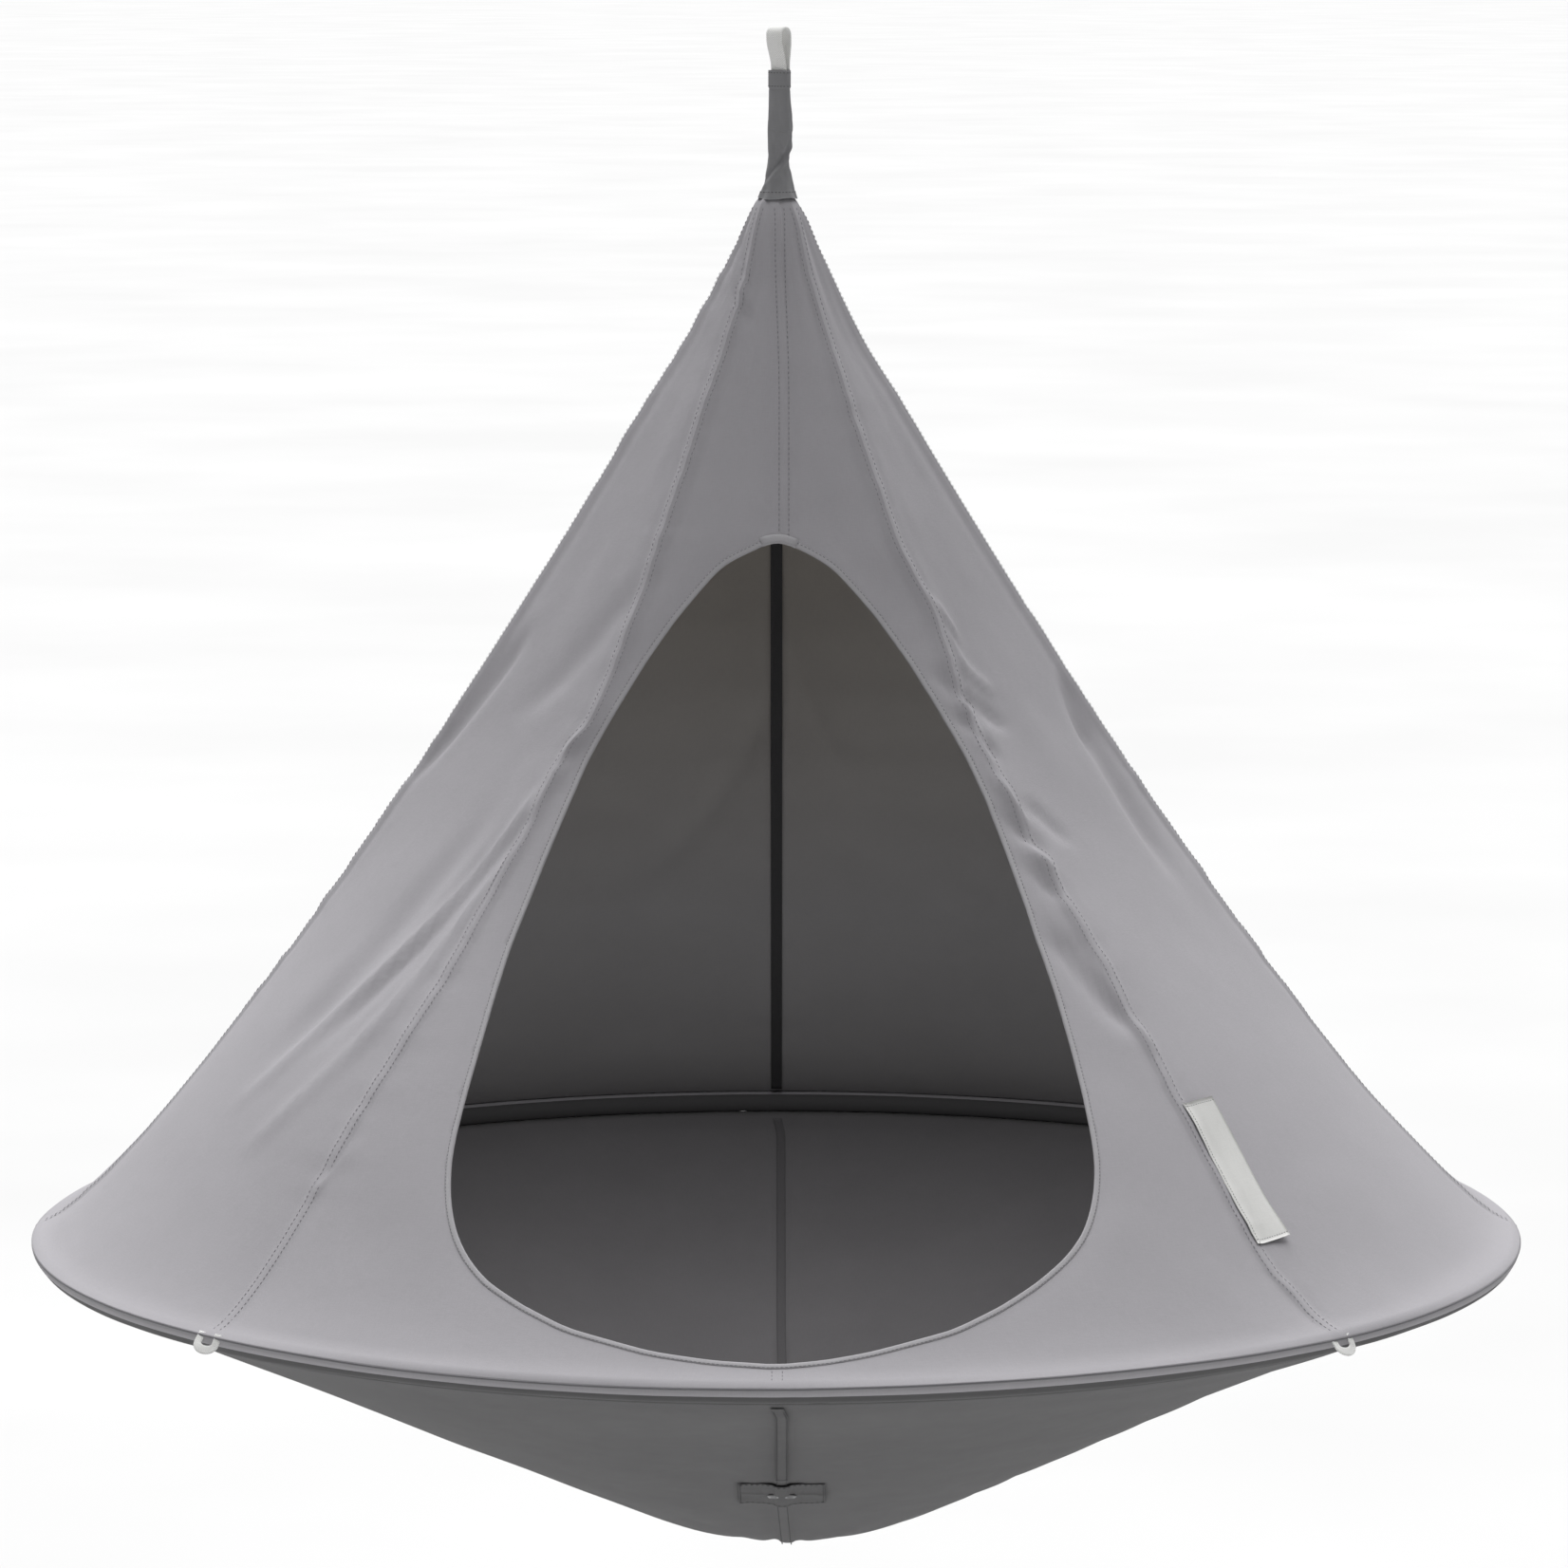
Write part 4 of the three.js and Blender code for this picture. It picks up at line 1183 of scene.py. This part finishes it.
def make_sleeve():
    """Cloth once round the tube, from the ring's seam and back to it under the canopy's edge."""
    azimuth = np.linspace(-180, 180, RING_STEPS, endpoint=False)[None]
    from_seam = np.linspace(0, 2 * math.pi - 0.1, 42)[:, None]
    seam_angle, seam_radius = ring_seam(azimuth)
    angle = seam_angle - from_seam
    azimuth, angle = np.broadcast_arrays(azimuth, angle)
    covered = smoothstep(-angle, math.radians(215), math.radians(245))
    radius = 0.01145 - 0.0008 * covered
    near_seam = 1 - smoothstep(from_seam, 0, math.radians(55))
    radius = radius + (seam_radius - 0.0010 - 0.01145) * near_seam
    radius = radius + 0.0003 * sleeve_noise(azimuth / 5, angle * 1.1) * (1 - covered)
    creases = bell((azimuth + 45) % 90 - 45 + 3 * np.sin(angle), 0, 0.35)
    radius = radius - 0.0004 * creases * (1 - covered)
    points = ring_point(azimuth, angle, radius)
    normals = ring_normal(azimuth, angle)
    made = solid_sheet("ring_sleeve", points, normals, 0.0006, SLEEVE_CLOTH, True)

    # the sleeve's rows round the tube's underside and inner side are in the floor's dark cloth
    made.data.materials.append(FLOOR_CLOTH)
    row = np.arange((len(points) - 1) * RING_STEPS) // RING_STEPS
    dark_cloth_rows = (row >= FLOOR_CLOTH_ROWS[0]) & (row < FLOOR_CLOTH_ROWS[1])
    rest = np.zeros(len(made.data.polygons) - 2 * len(row), bool)
    index = np.concatenate([dark_cloth_rows, dark_cloth_rows, rest])
    made.data.polygons.foreach_set("material_index", index.astype(np.int32))
    return made


sleeve = make_sleeve()
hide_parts(*[n for n in NODES if n.startswith("ring_sleeve")])
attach(sleeve, "ring")

# the ring's seam: a thin fold swept round it in the dark thread's grey; the fold is real, its
# darkness is a painted shadow line under the canopy's edge
around = np.linspace(-180, 180, RING_STEPS, endpoint=False)
edge_angle, edge_radius = ring_seam(around)
edge_angle = edge_angle - 0.05
wave = 0.0002 * sleeve_noise(around / 5, around * 0 + 3)
centre = ring_point(around, edge_angle, edge_radius - 0.0006 + wave)
normal = ring_normal(around, edge_angle)
across = np.tile([0.0, 0.0, 1.0], (RING_STEPS, 1))
across = unit(across - (across * normal).sum(1)[:, None] * normal)
seam_shadow_cord = sweep(
    "ring_seam_painted_shadow", centre, across, normal,
    [(-0.0010, -0.0004), (0.0008, -0.0006), (0.0009, 0.0001), (0, 0.0004), (-0.0009, 0.0001)],
    THREAD, closed=True,
)  # fmt: skip
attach(seam_shadow_cord, "ring")

# ---------------------------------------------------------------------------------------------
# the floor bowl

bowl_noise = Noise(31, repeat=12)
bowl_fine = Noise(32, repeat=40)
TIP_RADIUS = 0.15
BOWL_SLOPE = 0.456


def bowl_line():
    """The underside of the bowl, from the ring's sleeve to its tip: radius and height."""
    sleeve_low = np.array([RING_RADIUS - 0.002, -0.0160])
    tip_start = np.array([TIP_RADIUS, BOWL_EDGE[1] - BOWL_SLOPE * (BOWL_EDGE[0] - TIP_RADIUS)])
    tip_meet = np.array([TIP_RADIUS - (BOWL_DEPTH + tip_start[1]) / BOWL_SLOPE, -BOWL_DEPTH])
    lead = bezier(
        (sleeve_low, (RING_RADIUS - 0.010, -0.0190), (0.66, BOWL_EDGE[1] - BOWL_SLOPE * (BOWL_EDGE[0] - 0.66))), evenly(20)
    )
    straight = lead[-1] + (tip_start - lead[-1]) * evenly(40)[1:, None]
    tip = bezier((tip_start, tip_meet, (0, -BOWL_DEPTH)), evenly(30))[1:]
    line = np.vstack([lead, straight, tip])
    return run_length(line), line


BOWL_ALONG, BOWL_LINE = bowl_line()
BOWL_LENGTH = BOWL_ALONG[-1]


# (radius, how far the bowl's right side is drawn in there)
BOWL_DRAWN_IN = (
    (0, 0), (0.09, -0.012), (0.18, -0.008), (0.235, 0), (0.29, 0.012), (0.34, 0.017), (0.40, 0.024),
    (0.46, 0.033), (0.54, 0.044), (0.62, 0.040), (0.69, 0.018), (0.73, 0),
)  # fmt: skip
SEAM_ASIDE = 0.005  # how far to the right the floor's seam lies, and how much further its tip
TIP_ASIDE = 0.006


def bowl(azimuth, along, drop=0.0):
    """Points of the bowl's underside, moved down and out by drop."""
    azimuth, along = together(azimuth, along)
    radius = np.interp(along, BOWL_ALONG, BOWL_LINE[:, 0])
    height = np.interp(along, BOWL_ALONG, BOWL_LINE[:, 1])
    ahead = np.interp(along + 0.004, BOWL_ALONG, BOWL_LINE[:, 1]) - height
    behind = radius - np.interp(along + 0.004, BOWL_ALONG, BOWL_LINE[:, 0])
    slope = np.stack([-ahead, behind], -1)
    slope = unit(np.where(np.abs(slope).sum(-1, keepdims=True) < 1e-9, (0.0, 1.0), slope))
    turn = azimuth / 360
    near = np.abs(np.sin(np.radians(azimuth))) * radius
    held = smoothstep(along, 0.0, 0.05) * smoothstep(radius, 0.0, 0.1)
    out = 0.0035 * bowl_noise(turn * 12, along / 0.22) * held
    out = out + 0.0009 * bowl_fine(turn * 40, along / 0.09) * held
    out = out + 0.0010 * (1 - smoothstep(near, 0.006, 0.0075)) * smoothstep(along, 0.0, 0.02)
    out = out - 0.0016 * bell(near, 0.013, 0.006) * held
    out = out + drop
    turned = np.radians(azimuth)
    aside = SEAM_ASIDE * smoothstep(along, 0, 0.06) + TIP_ASIDE * (1 - smoothstep(radius, 0, 0.4))
    from_right = half_turn(azimuth - 85)
    drawn_in = table_at(BOWL_DRAWN_IN, radius) * bell(from_right, 0, 50)
    reach = radius - drawn_in + out * slope[..., 0]
    height = height - out * slope[..., 1]
    return np.stack([aside + reach * np.sin(turned), -reach * np.cos(turned), RING_Z + height], -1)


def make_floor():
    columns, rows = 288, 84
    azimuth = np.linspace(-180, 180, columns, endpoint=False)
    seams = np.concatenate([[a, a + 0.55, a - 0.55, a + 1.1, a - 1.1] for a in (0, 180)])
    azimuth = np.unique(np.round(np.concatenate([azimuth, half_turn(seams)]), 4))
    columns = len(azimuth)
    along = np.linspace(0, BOWL_LENGTH - 0.002, rows)
    outer = bowl(azimuth[None], along[:, None])
    inner = bowl(azimuth[None], along[:, None], -THICKNESS)
    count = rows * columns
    top = grid_faces(rows, columns, closed_columns=True)
    vertices = np.vstack([outer.reshape(-1, 3), inner.reshape(-1, 3)])
    tips = np.array([[0, 0, outer[-1, :, 2].mean()], [0, 0, inner[-1, :, 2].mean()]])
    vertices = np.vstack([vertices, tips])
    last = np.arange((rows - 1) * columns, count)
    fan = [(int(a), int(b), 2 * count) for a, b in zip(last, np.roll(last, -1))]
    body = top + fan
    mirrored = [tuple(i + count if i < count else i + 1 for i in face[::-1]) for face in body]
    first = np.arange(columns)
    rim = [
        (int(b), int(a), int(a) + count, int(b) + count) for a, b in zip(first, np.roll(first, -1))
    ]
    faces = body + mirrored + rim
    uv = vertices[:, :2] * (1.0, 1.1)
    faces = fix_winding(vertices, faces)
    # the inside faces take the floor cloth's lighter copy, painted light
    inside = np.concatenate([np.zeros(len(body)), np.ones(len(mirrored)), np.zeros(len(rim))])
    return add_object(
        "floor_bowl", vertices, faces, [FLOOR_CLOTH, FLOOR_CLOTH_IN_PAINTED_LIGHT], corner_uvs(faces, uv),
        inside
    )


floor_piece = make_floor()
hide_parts("floor_panel_left", "floor_panel_right")
squash_with_floor(floor_piece)


def bowl_along(radius):
    return np.interp(-np.asarray(radius, float), -BOWL_LINE[:, 0], BOWL_ALONG)


def under_bowl(x, radius, drop=0.0):
    """Points under the bowl's front at a distance x aside from its seam."""
    x, radius = together(x, radius)
    reach = np.hypot(x, radius)
    return bowl(np.degrees(np.arctan2(x, radius)), bowl_along(reach), drop)


def bowl_patch(name, x, radius, drops, thickness, material):
    """A flat piece under the bowl: a grid of x by radius, `drops` below its cloth."""
    xs, radii = np.meshgrid(x, radius)
    point = under_bowl(xs, radii, drops)
    down = unit(under_bowl(xs, radii, 0.01) - under_bowl(xs, radii, 0.0))
    return solid_sheet(name, point, down, thickness, material), point, down


TAPE_HALF = 0.006
tape_radii = np.linspace(0.724, -box("floor_seam_tape")[1][1], 60)
floor_tape, _, _ = bowl_patch(
    "floor_tape_strip", np.linspace(-TAPE_HALF, TAPE_HALF, 7), tape_radii, 0.0014, 0.0006,
    FLOOR_TAPE
)
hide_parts("floor_seam_tape")
squash_with_floor(floor_tape)

# the two halves' edges are felled flat on the inside
inside = np.linspace(-0.722, 0.722, 220)
xs, forwards = np.meshgrid(np.linspace(-0.005, 0.005, 5), inside)
azimuth = np.degrees(np.arctan2(xs, forwards))
felled = bowl(azimuth, bowl_along(np.hypot(xs, forwards)), -THICKNESS - 0.0011)
above = unit(felled - bowl(azimuth, bowl_along(np.hypot(xs, forwards)), 0.01))
# the felled seam takes its lighter copy of the floor cloth, painted light
seam_inside = solid_sheet(
    "floor_seam_felled", felled, above, 0.0008, FLOOR_SEAM_IN_PAINTED_LIGHT
)
squash_with_floor(seam_inside)

patch_low, patch_high = box("drain_patch")
PATCH_RADIUS = -(patch_low[1] + patch_high[1]) / 2
patch_x = np.linspace(patch_low[0], patch_high[0], 43)
patch_radius = np.linspace(-patch_low[1], -patch_high[1], 35)
xs, radii = np.meshgrid(patch_x, patch_radius)
flap = smoothstep(np.abs(xs), 0.014, 0.020)
curl = smoothstep(np.abs(xs), 0.030, 0.042) * (0.0009 + 0.0008 * np.sin(radii * 90 + xs * 40))
crease = bell(radii, PATCH_RADIUS, 0.004) * flap
drops = 0.0011 + 0.0017 * (1 - flap) + curl + 0.0009 * crease
patch, patch_point, patch_down = bowl_patch(
    "drain_flap", patch_x, patch_radius, drops, 0.0006, FLOOR_TAPE
)
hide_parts("drain_patch")
squash_with_floor(patch)

floor_rows = []
for aside in (-0.0045, 0.0045):
    radii = np.linspace(0.715, 0.02, 300)
    point = under_bowl(np.full(300, aside), radii, 0.0017)
    floor_rows.append((point, unit(under_bowl(np.full(300, aside), radii, 0.01) - point), False))
for row in (1, -2):
    floor_rows.append((patch_point[row] + patch_down[row] * 0.0002, patch_down[row], False))
for column in (1, -2):
    floor_rows.append(
        (patch_point[:, column] + patch_down[:, column] * 0.0002, patch_down[:, column], False)
    )
floor_sewn = stitches("floor_stitching", floor_rows, DARK_THREAD, pitch=0.0052)
squash_with_floor(floor_sewn)


def lathe(name, profile_points, centre, axis, steps, material):
    """A ring turned about axis through centre. profile_points are (radius, along the axis)."""
    axis = unit(np.asarray(axis, float))
    first = unit(np.cross(axis, (0.0, 1.0, 0.3)))
    second = np.cross(axis, first)
    turn = round_turn(steps)
    spoke = np.cos(turn)[:, None] * first + np.sin(turn)[:, None] * second
    profile_points = np.asarray(profile_points, float)
    points = (
        centre
        + profile_points[None, :, :1] * spoke[:, None]
        + profile_points[None, :, 1:] * axis
    )
    faces = fix_winding(points, grid_faces(steps, len(profile_points), True, True))
    uv = points.reshape(-1, 3)[:, :2]
    return add_object(
        name, points.reshape(-1, 3), faces, material, corner_uvs(faces, uv), None
    )


for place in ("left", "right"):
    low, high = box(f"drain_eyelet_{place}")
    centre = (low + high) / 2
    sign = 1 if centre[0] > 0 else -1
    down = unit(
        under_bowl(0.008 * sign, PATCH_RADIUS, 0.01) - under_bowl(0.008 * sign, PATCH_RADIUS, 0.0)
    )
    on_cloth = under_bowl(0.008 * sign, PATCH_RADIUS, 0.0034)
    rim = [
        (0.0026, -0.0018), (0.0030, 0.0004), (0.0038, 0.0013), (0.0049, 0.0012), (0.0060, 0.0002),
        (0.0060, -0.0004), (0.0045, -0.0010), (0.0034, -0.0018),
    ]  # fmt: skip
    eyelet = lathe(f"eyelet_{place}", rim, on_cloth, down, 32, DARK_STEEL)
    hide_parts(f"drain_eyelet_{place}")
    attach(eyelet, "drain")

# ---------------------------------------------------------------------------------------------
# webbing tabs under the ring


def make_tab(place, azimuth):
    """A flat U of webbing that hangs out and down from the ring's seam."""
    tilt = math.radians(58)
    turn = math.radians(azimuth)
    out = np.array([math.sin(turn), -math.cos(turn), 0])
    aside = np.array([math.cos(turn), math.sin(turn), 0])
    ahead = out * math.cos(tilt) - np.array([0, 0, math.sin(tilt)])
    face = np.cross(aside, ahead)
    half, reach = 0.0115, 0.0075
    bend = np.linspace(0, math.pi, 19)
    local = np.vstack(
        [
            np.stack([np.full(6, half), np.linspace(-0.005, reach - 0.002, 6)], 1),
            np.stack([half * np.cos(bend[1:-1]), reach - 0.002 + half * 0.6 * np.sin(bend[1:-1])], 1),
            np.stack([np.full(6, -half), np.linspace(reach - 0.002, -0.005, 6)], 1),
        ]
    )
    seam_angle, seam_radius = ring_seam(azimuth)
    root = ring_point(azimuth, seam_angle - 0.1, seam_radius - 0.0004)
    ripple = 0.0011 * np.sin(np.linspace(0, 7, len(local)))
    centres = root + local[:, :1] * aside + local[:, 1:] * ahead + ripple[:, None] * face
    path = unit(np.gradient(centres, axis=0))
    lean = np.radians(10 * np.cos(np.linspace(0, math.pi, len(local))))[:, None]
    side = unit(np.cross(path, face))
    normals = unit(np.cross(side, path))
    side, normals = (
        side * np.cos(lean) + normals * np.sin(lean),
        normals * np.cos(lean) - side * np.sin(lean),
    )
    tab = sweep(
        f"tab_{place}", centres, side, normals, tape_section(0.0085, 0.0013), WEBBING,
    )
    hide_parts(f"ring_tab_{place}")
    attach(tab, "ring")


make_tab("left", -45)
make_tab("right", 45)

# ---------------------------------------------------------------------------------------------
# neck: hanging loop, sleeve, twisted fold, flared skirt

NECK_TURN = math.radians(-41)
WIDTHWAYS = np.array([math.cos(NECK_TURN), math.sin(NECK_TURN), 0.0])
DEPTHWAYS = np.array([-WIDTHWAYS[1], WIDTHWAYS[0], 0.0])
NECK_SHIFT = 0.0022  # the neck leans a little to the right of the tent's axis


def make_loop():
    """One length of webbing over the crown, both ends sewn together inside the sleeve."""
    radius = 0.0072
    low = MOUTH - 0.014
    bend = np.linspace(0, math.pi, 25)
    crown = -0.006
    leg = evenly(16)
    up = np.stack(
        [0.0026 + (radius - 0.0026) * smoothstep(leg, 0.35, 0.9), low + (crown - low) * leg], 1
    )
    over = np.stack([radius * np.cos(bend), crown + radius * np.sin(bend)], 1)
    down = (up * (-1, 1))[::-1]
    local = np.vstack([up, over[1:-1], down])
    drift = 0.0022 + (NECK_SHIFT - 0.0004) * smoothstep(-local[:, 1], 0.004, 0.04)
    centres = local[:, :1] * DEPTHWAYS + np.stack([drift, 0 * drift, local[:, 1]], 1)
    path = unit(np.gradient(centres, axis=0))
    side = np.tile(WIDTHWAYS, (len(local), 1))
    normals = unit(np.cross(path, side))
    if (normals[len(up) + 11] * (0, 0, 1)).sum() < 0:
        normals = -normals
    section = np.asarray(tape_section(0.020, 0.0022, 0.4)) - (0, 0.0011)
    loop = sweep("webbing_loop", centres, side, normals, section, WEBBING)
    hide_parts("hanging_loop", "lift_webbing_upper")
    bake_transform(loop)


make_loop()

core_z = np.linspace(MOUTH - 0.038, TWIST_PIVOT + 0.005, 12)
core = np.stack([np.full(12, NECK_SHIFT), np.zeros(12), core_z], 1)
core_piece = sweep(
    "lift_webbing_core", core, np.tile(WIDTHWAYS, (12, 1)), np.tile(DEPTHWAYS, (12, 1)),
    np.asarray(tape_section(0.017, 0.0040)) - (0, 0.0020), WEBBING,
)  # fmt: skip
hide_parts("lift_webbing_lower")
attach(core_piece, "neck_lower")

# (height, shift right, half width, half depth, squareness, turn) of the neck's sections
NECK_SECTIONS = (
    (MOUTH, 0.0030, 0.0121, 0.0050, 3.4, -41),
    (MOUTH - 0.020, 0.0030, 0.0121, 0.0052, 3.4, -41),
    (MOUTH - 0.034, 0.0033, 0.0123, 0.0056, 3.0, -39),
    (MOUTH - 0.048, 0.0038, 0.0126, 0.0062, 2.8, -35),
    (MOUTH - 0.060, 0.0039, 0.0132, 0.0068, 2.5, -30),
    (MOUTH - 0.070, 0.0032, 0.0120, 0.0070, 2.4, -24),
    (MOUTH - 0.084, 0.0021, 0.0101, 0.0078, 2.2, -14),
    (MOUTH - 0.096, 0.0022, 0.0112, 0.0090, 2.1, -7),
    (MOUTH - 0.107, 0.0023, 0.0130, 0.0112, 2.0, 0),
    (MOUTH - 0.120, 0.0013, 0.0163, 0.0152, 2.0, 0),
    (MOUTH - 0.127, 0.0013, 0.0190, 0.0190, 2.0, 0),
)
neck_noise = Noise(41, repeat=18)


def neck_surface(z, turn, lift=0.0):
    """Points round the neck's sleeve at a height; turn is in radians."""
    z, turn = together(z, turn)
    table = np.array(NECK_SECTIONS)[::-1]
    shift, half_width, half_depth, square, tilt = (
        np.interp(z, table[:, 0], table[:, n]) for n in range(1, 6)
    )
    c, s = np.cos(turn), np.sin(turn)
    size = (np.abs(c) ** square + np.abs(s) ** square) ** (-1 / square)
    down = MOUTH - z
    # the twisted fold runs from the right edge down to the front left
    fold_turn = 0.35 - 2.9 * smoothstep(down, 0.070, 0.118)
    away = (turn - fold_turn + math.pi) % (2 * math.pi) - math.pi
    amount = smoothstep(down, 0.060, 0.078) * (1 - smoothstep(down, 0.104, 0.122))
    step = 0.0020 * amount * bell(away, 0, 0.34)
    step = step - 0.0021 * amount * bell(away, -0.62, 0.30)
    hem = 0.0006 * (1 - smoothstep(down, 0.0165, 0.0180))
    hem = hem - 0.0004 * bell(down, 0.0182, 0.0009)
    skirt_hem = 0.0006 * smoothstep(down, 0.1190, 0.1200)
    ripple = 0.0010 * neck_noise(turn / (2 * math.pi) * 18, z / 0.012) * smoothstep(
        down, 0.02, 0.05
    )
    flute = 0.0005 * np.sin(turn * 9 + 2) * smoothstep(down, 0.106, 0.124)
    out = lift + step + hem + skirt_hem + ripple + flute
    tilt = np.radians(tilt)
    x = (half_width * size + out) * c
    y = (half_depth * size + out) * s
    return np.stack(
        [shift + x * np.cos(tilt) - y * np.sin(tilt), x * np.sin(tilt) + y * np.cos(tilt), z], -1
    )


def neck_piece(name, z_high, z_low, rows, lip=0.0):
    """A length of the neck's sleeve, with two faces."""
    turn = round_turn(72)
    z = np.linspace(z_high, z_low, rows)[:, None] + 0 * turn[None]
    if lip:
        share = evenly(rows)[:, None] ** 8
        z = z - share * lip * (0.5 + 0.5 * np.sin(turn * 3 + 1.2))[None]
    outer = neck_surface(z, turn[None])
    inner = neck_surface(z, turn[None], -0.0011)
    normals = unit(outer - inner)
    return solid_sheet(name, outer, normals, 0.0011, NECK_CLOTH, True)


SPLIT = TWIST_PIVOT + 0.012
upper_neck = neck_piece("neck_sleeve", MOUTH, SPLIT - 0.001, 44)
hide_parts("neck_hem", "neck_sleeve_upper", "neck_sleeve_lower")
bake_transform(upper_neck)
lower_neck = neck_piece("neck_flare", SPLIT, MOUTH - 0.1262, 60, lip=0.0014)
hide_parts("neck_skirt")
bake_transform(lower_neck)

turn = round_turn(120)
hem_line = []
for down in (0.0025, 0.0158):
    points = neck_surface(MOUTH - down, turn, 0.0001)
    hem_line.append((points, unit(points - neck_surface(MOUTH - down, turn, -0.001)), True))
hem_sewn = stitches(
    "neck_hem_stitching", hem_line, DARK_THREAD, pitch=0.0038, length=0.0026, radius=0.0003,
)
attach(hem_sewn, "neck_upper")
points = neck_surface(MOUTH - 0.1205, turn, 0.0001)
skirt_line = [(points, unit(points - neck_surface(MOUTH - 0.1205, turn, -0.001)), True)]
skirt_sewn = stitches(
    "neck_flare_stitching", skirt_line, DARK_THREAD, pitch=0.0038, length=0.0026, radius=0.0003,
)
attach(skirt_sewn, "crown")


def make_gather():
    """The strap ends sewn together under the crown: a pleated plug with eight lobes."""
    low, high = box("crown_gather")
    rows, columns = 24, 96
    z = np.linspace(high[2] - 0.002, low[2], rows)
    share = evenly(rows)
    radius = 0.0040 + 0.0070 * smoothstep(-z, 0.145, 0.172)
    turn = round_turn(columns)
    lobes = 1 + (0.10 + 0.14 * share[:, None]) * np.cos(8 * turn)[None]
    reach = radius[:, None] * lobes
    points = np.stack([reach * np.cos(turn), reach * np.sin(turn), z[:, None] + 0 * reach], -1)
    faces = grid_faces(rows, columns, closed_columns=True)
    faces.append(tuple(range(columns)))
    faces.append(tuple(range((rows - 1) * columns, rows * columns))[::-1])
    faces = fix_winding(points, faces)
    flat = points.reshape(-1, 3)
    uv = np.stack([np.tile(turn * 0.01, rows), flat[:, 2]], 1)
    gather = add_object(
        "strap_gather", flat, faces, STRAP_WEBBING, corner_uvs(faces, uv), None
    )
    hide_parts("crown_gather")
    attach(gather, "crown")


make_gather()

# ---------------------------------------------------------------------------------------------
# the CAD pieces that stay: tubes, spigots and buttons inside the sleeve

for name, node in NODES.items():
    metal_of = {"ring_tube": ALUMINIUM, "ring_spigot": ALUMINIUM, "ring_button": STEEL}
    for start, material in metal_of.items():
        if name.startswith(start):
            node.data.materials.clear()
            node.data.materials.append(material)

# ---------------------------------------------------------------------------------------------
# floor, light and background


def make_stage():
    half = 400.0
    z = RING_Z - 1.5
    mesh = bpy.data.meshes.new("studio_floor")
    corners = [(-half, -half, z), (half, -half, z), (half, half, z), (-half, half, z)]
    mesh.from_pydata(corners, [], [(0, 1, 2, 3)])
    material, tree, shader = new_material("studio_floor")
    where = add_node(tree, "TexCoord").outputs["Object"]
    tone = ramp(tree, noise_of(tree, where, 0.6, 3.0), grey(0.62), grey(0.66))
    tree.links.new(tone, shader.inputs["Base Color"])
    shader.inputs["Roughness"].default_value = 0.9
    mesh.materials.append(material)
    floor = add_to_scene("studio_floor", mesh)


make_stage()


def overhead_light(back, left, spread, power):
    """Soft light from everywhere near one direction, given in degrees back and left from above."""
    data = bpy.data.lights.new("overhead", "SUN")
    data.angle = math.radians(spread)
    data.energy = power
    light = add_to_scene("overhead", data)
    light.rotation_euler = (math.radians(-back), math.radians(-left), 0)


overhead_light(22, 1, 70, 4.8)


def inside_light(name, height, size, power):
    """What the thin canopy lets through and scatters down into the tent, seen by no camera."""
    data = bpy.data.lights.new(name, "AREA")
    data.shape = "DISK"
    data.size = size
    data.energy = power
    light = add_to_scene(name, data)
    light.location = (0, 0, RING_Z + height)
    light.visible_camera = False
    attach(light, "crown")


for number, (height, power) in enumerate(
    ((0.28, 0.70), (0.36, 0.65), (0.44, 0.50), (0.52, 0.30), (0.60, 0.15))
):
    inside_light(f"inside_{number}", height, 0.12, power)

world = bpy.data.worlds.new("studio")
bpy.context.scene.world = world
world.use_nodes = True
world.node_tree.nodes["Background"].inputs[0].default_value = grey(1.0)
world.node_tree.nodes["Background"].inputs[1].default_value = 0.10
bpy.context.scene.view_settings.view_transform = "Standard"
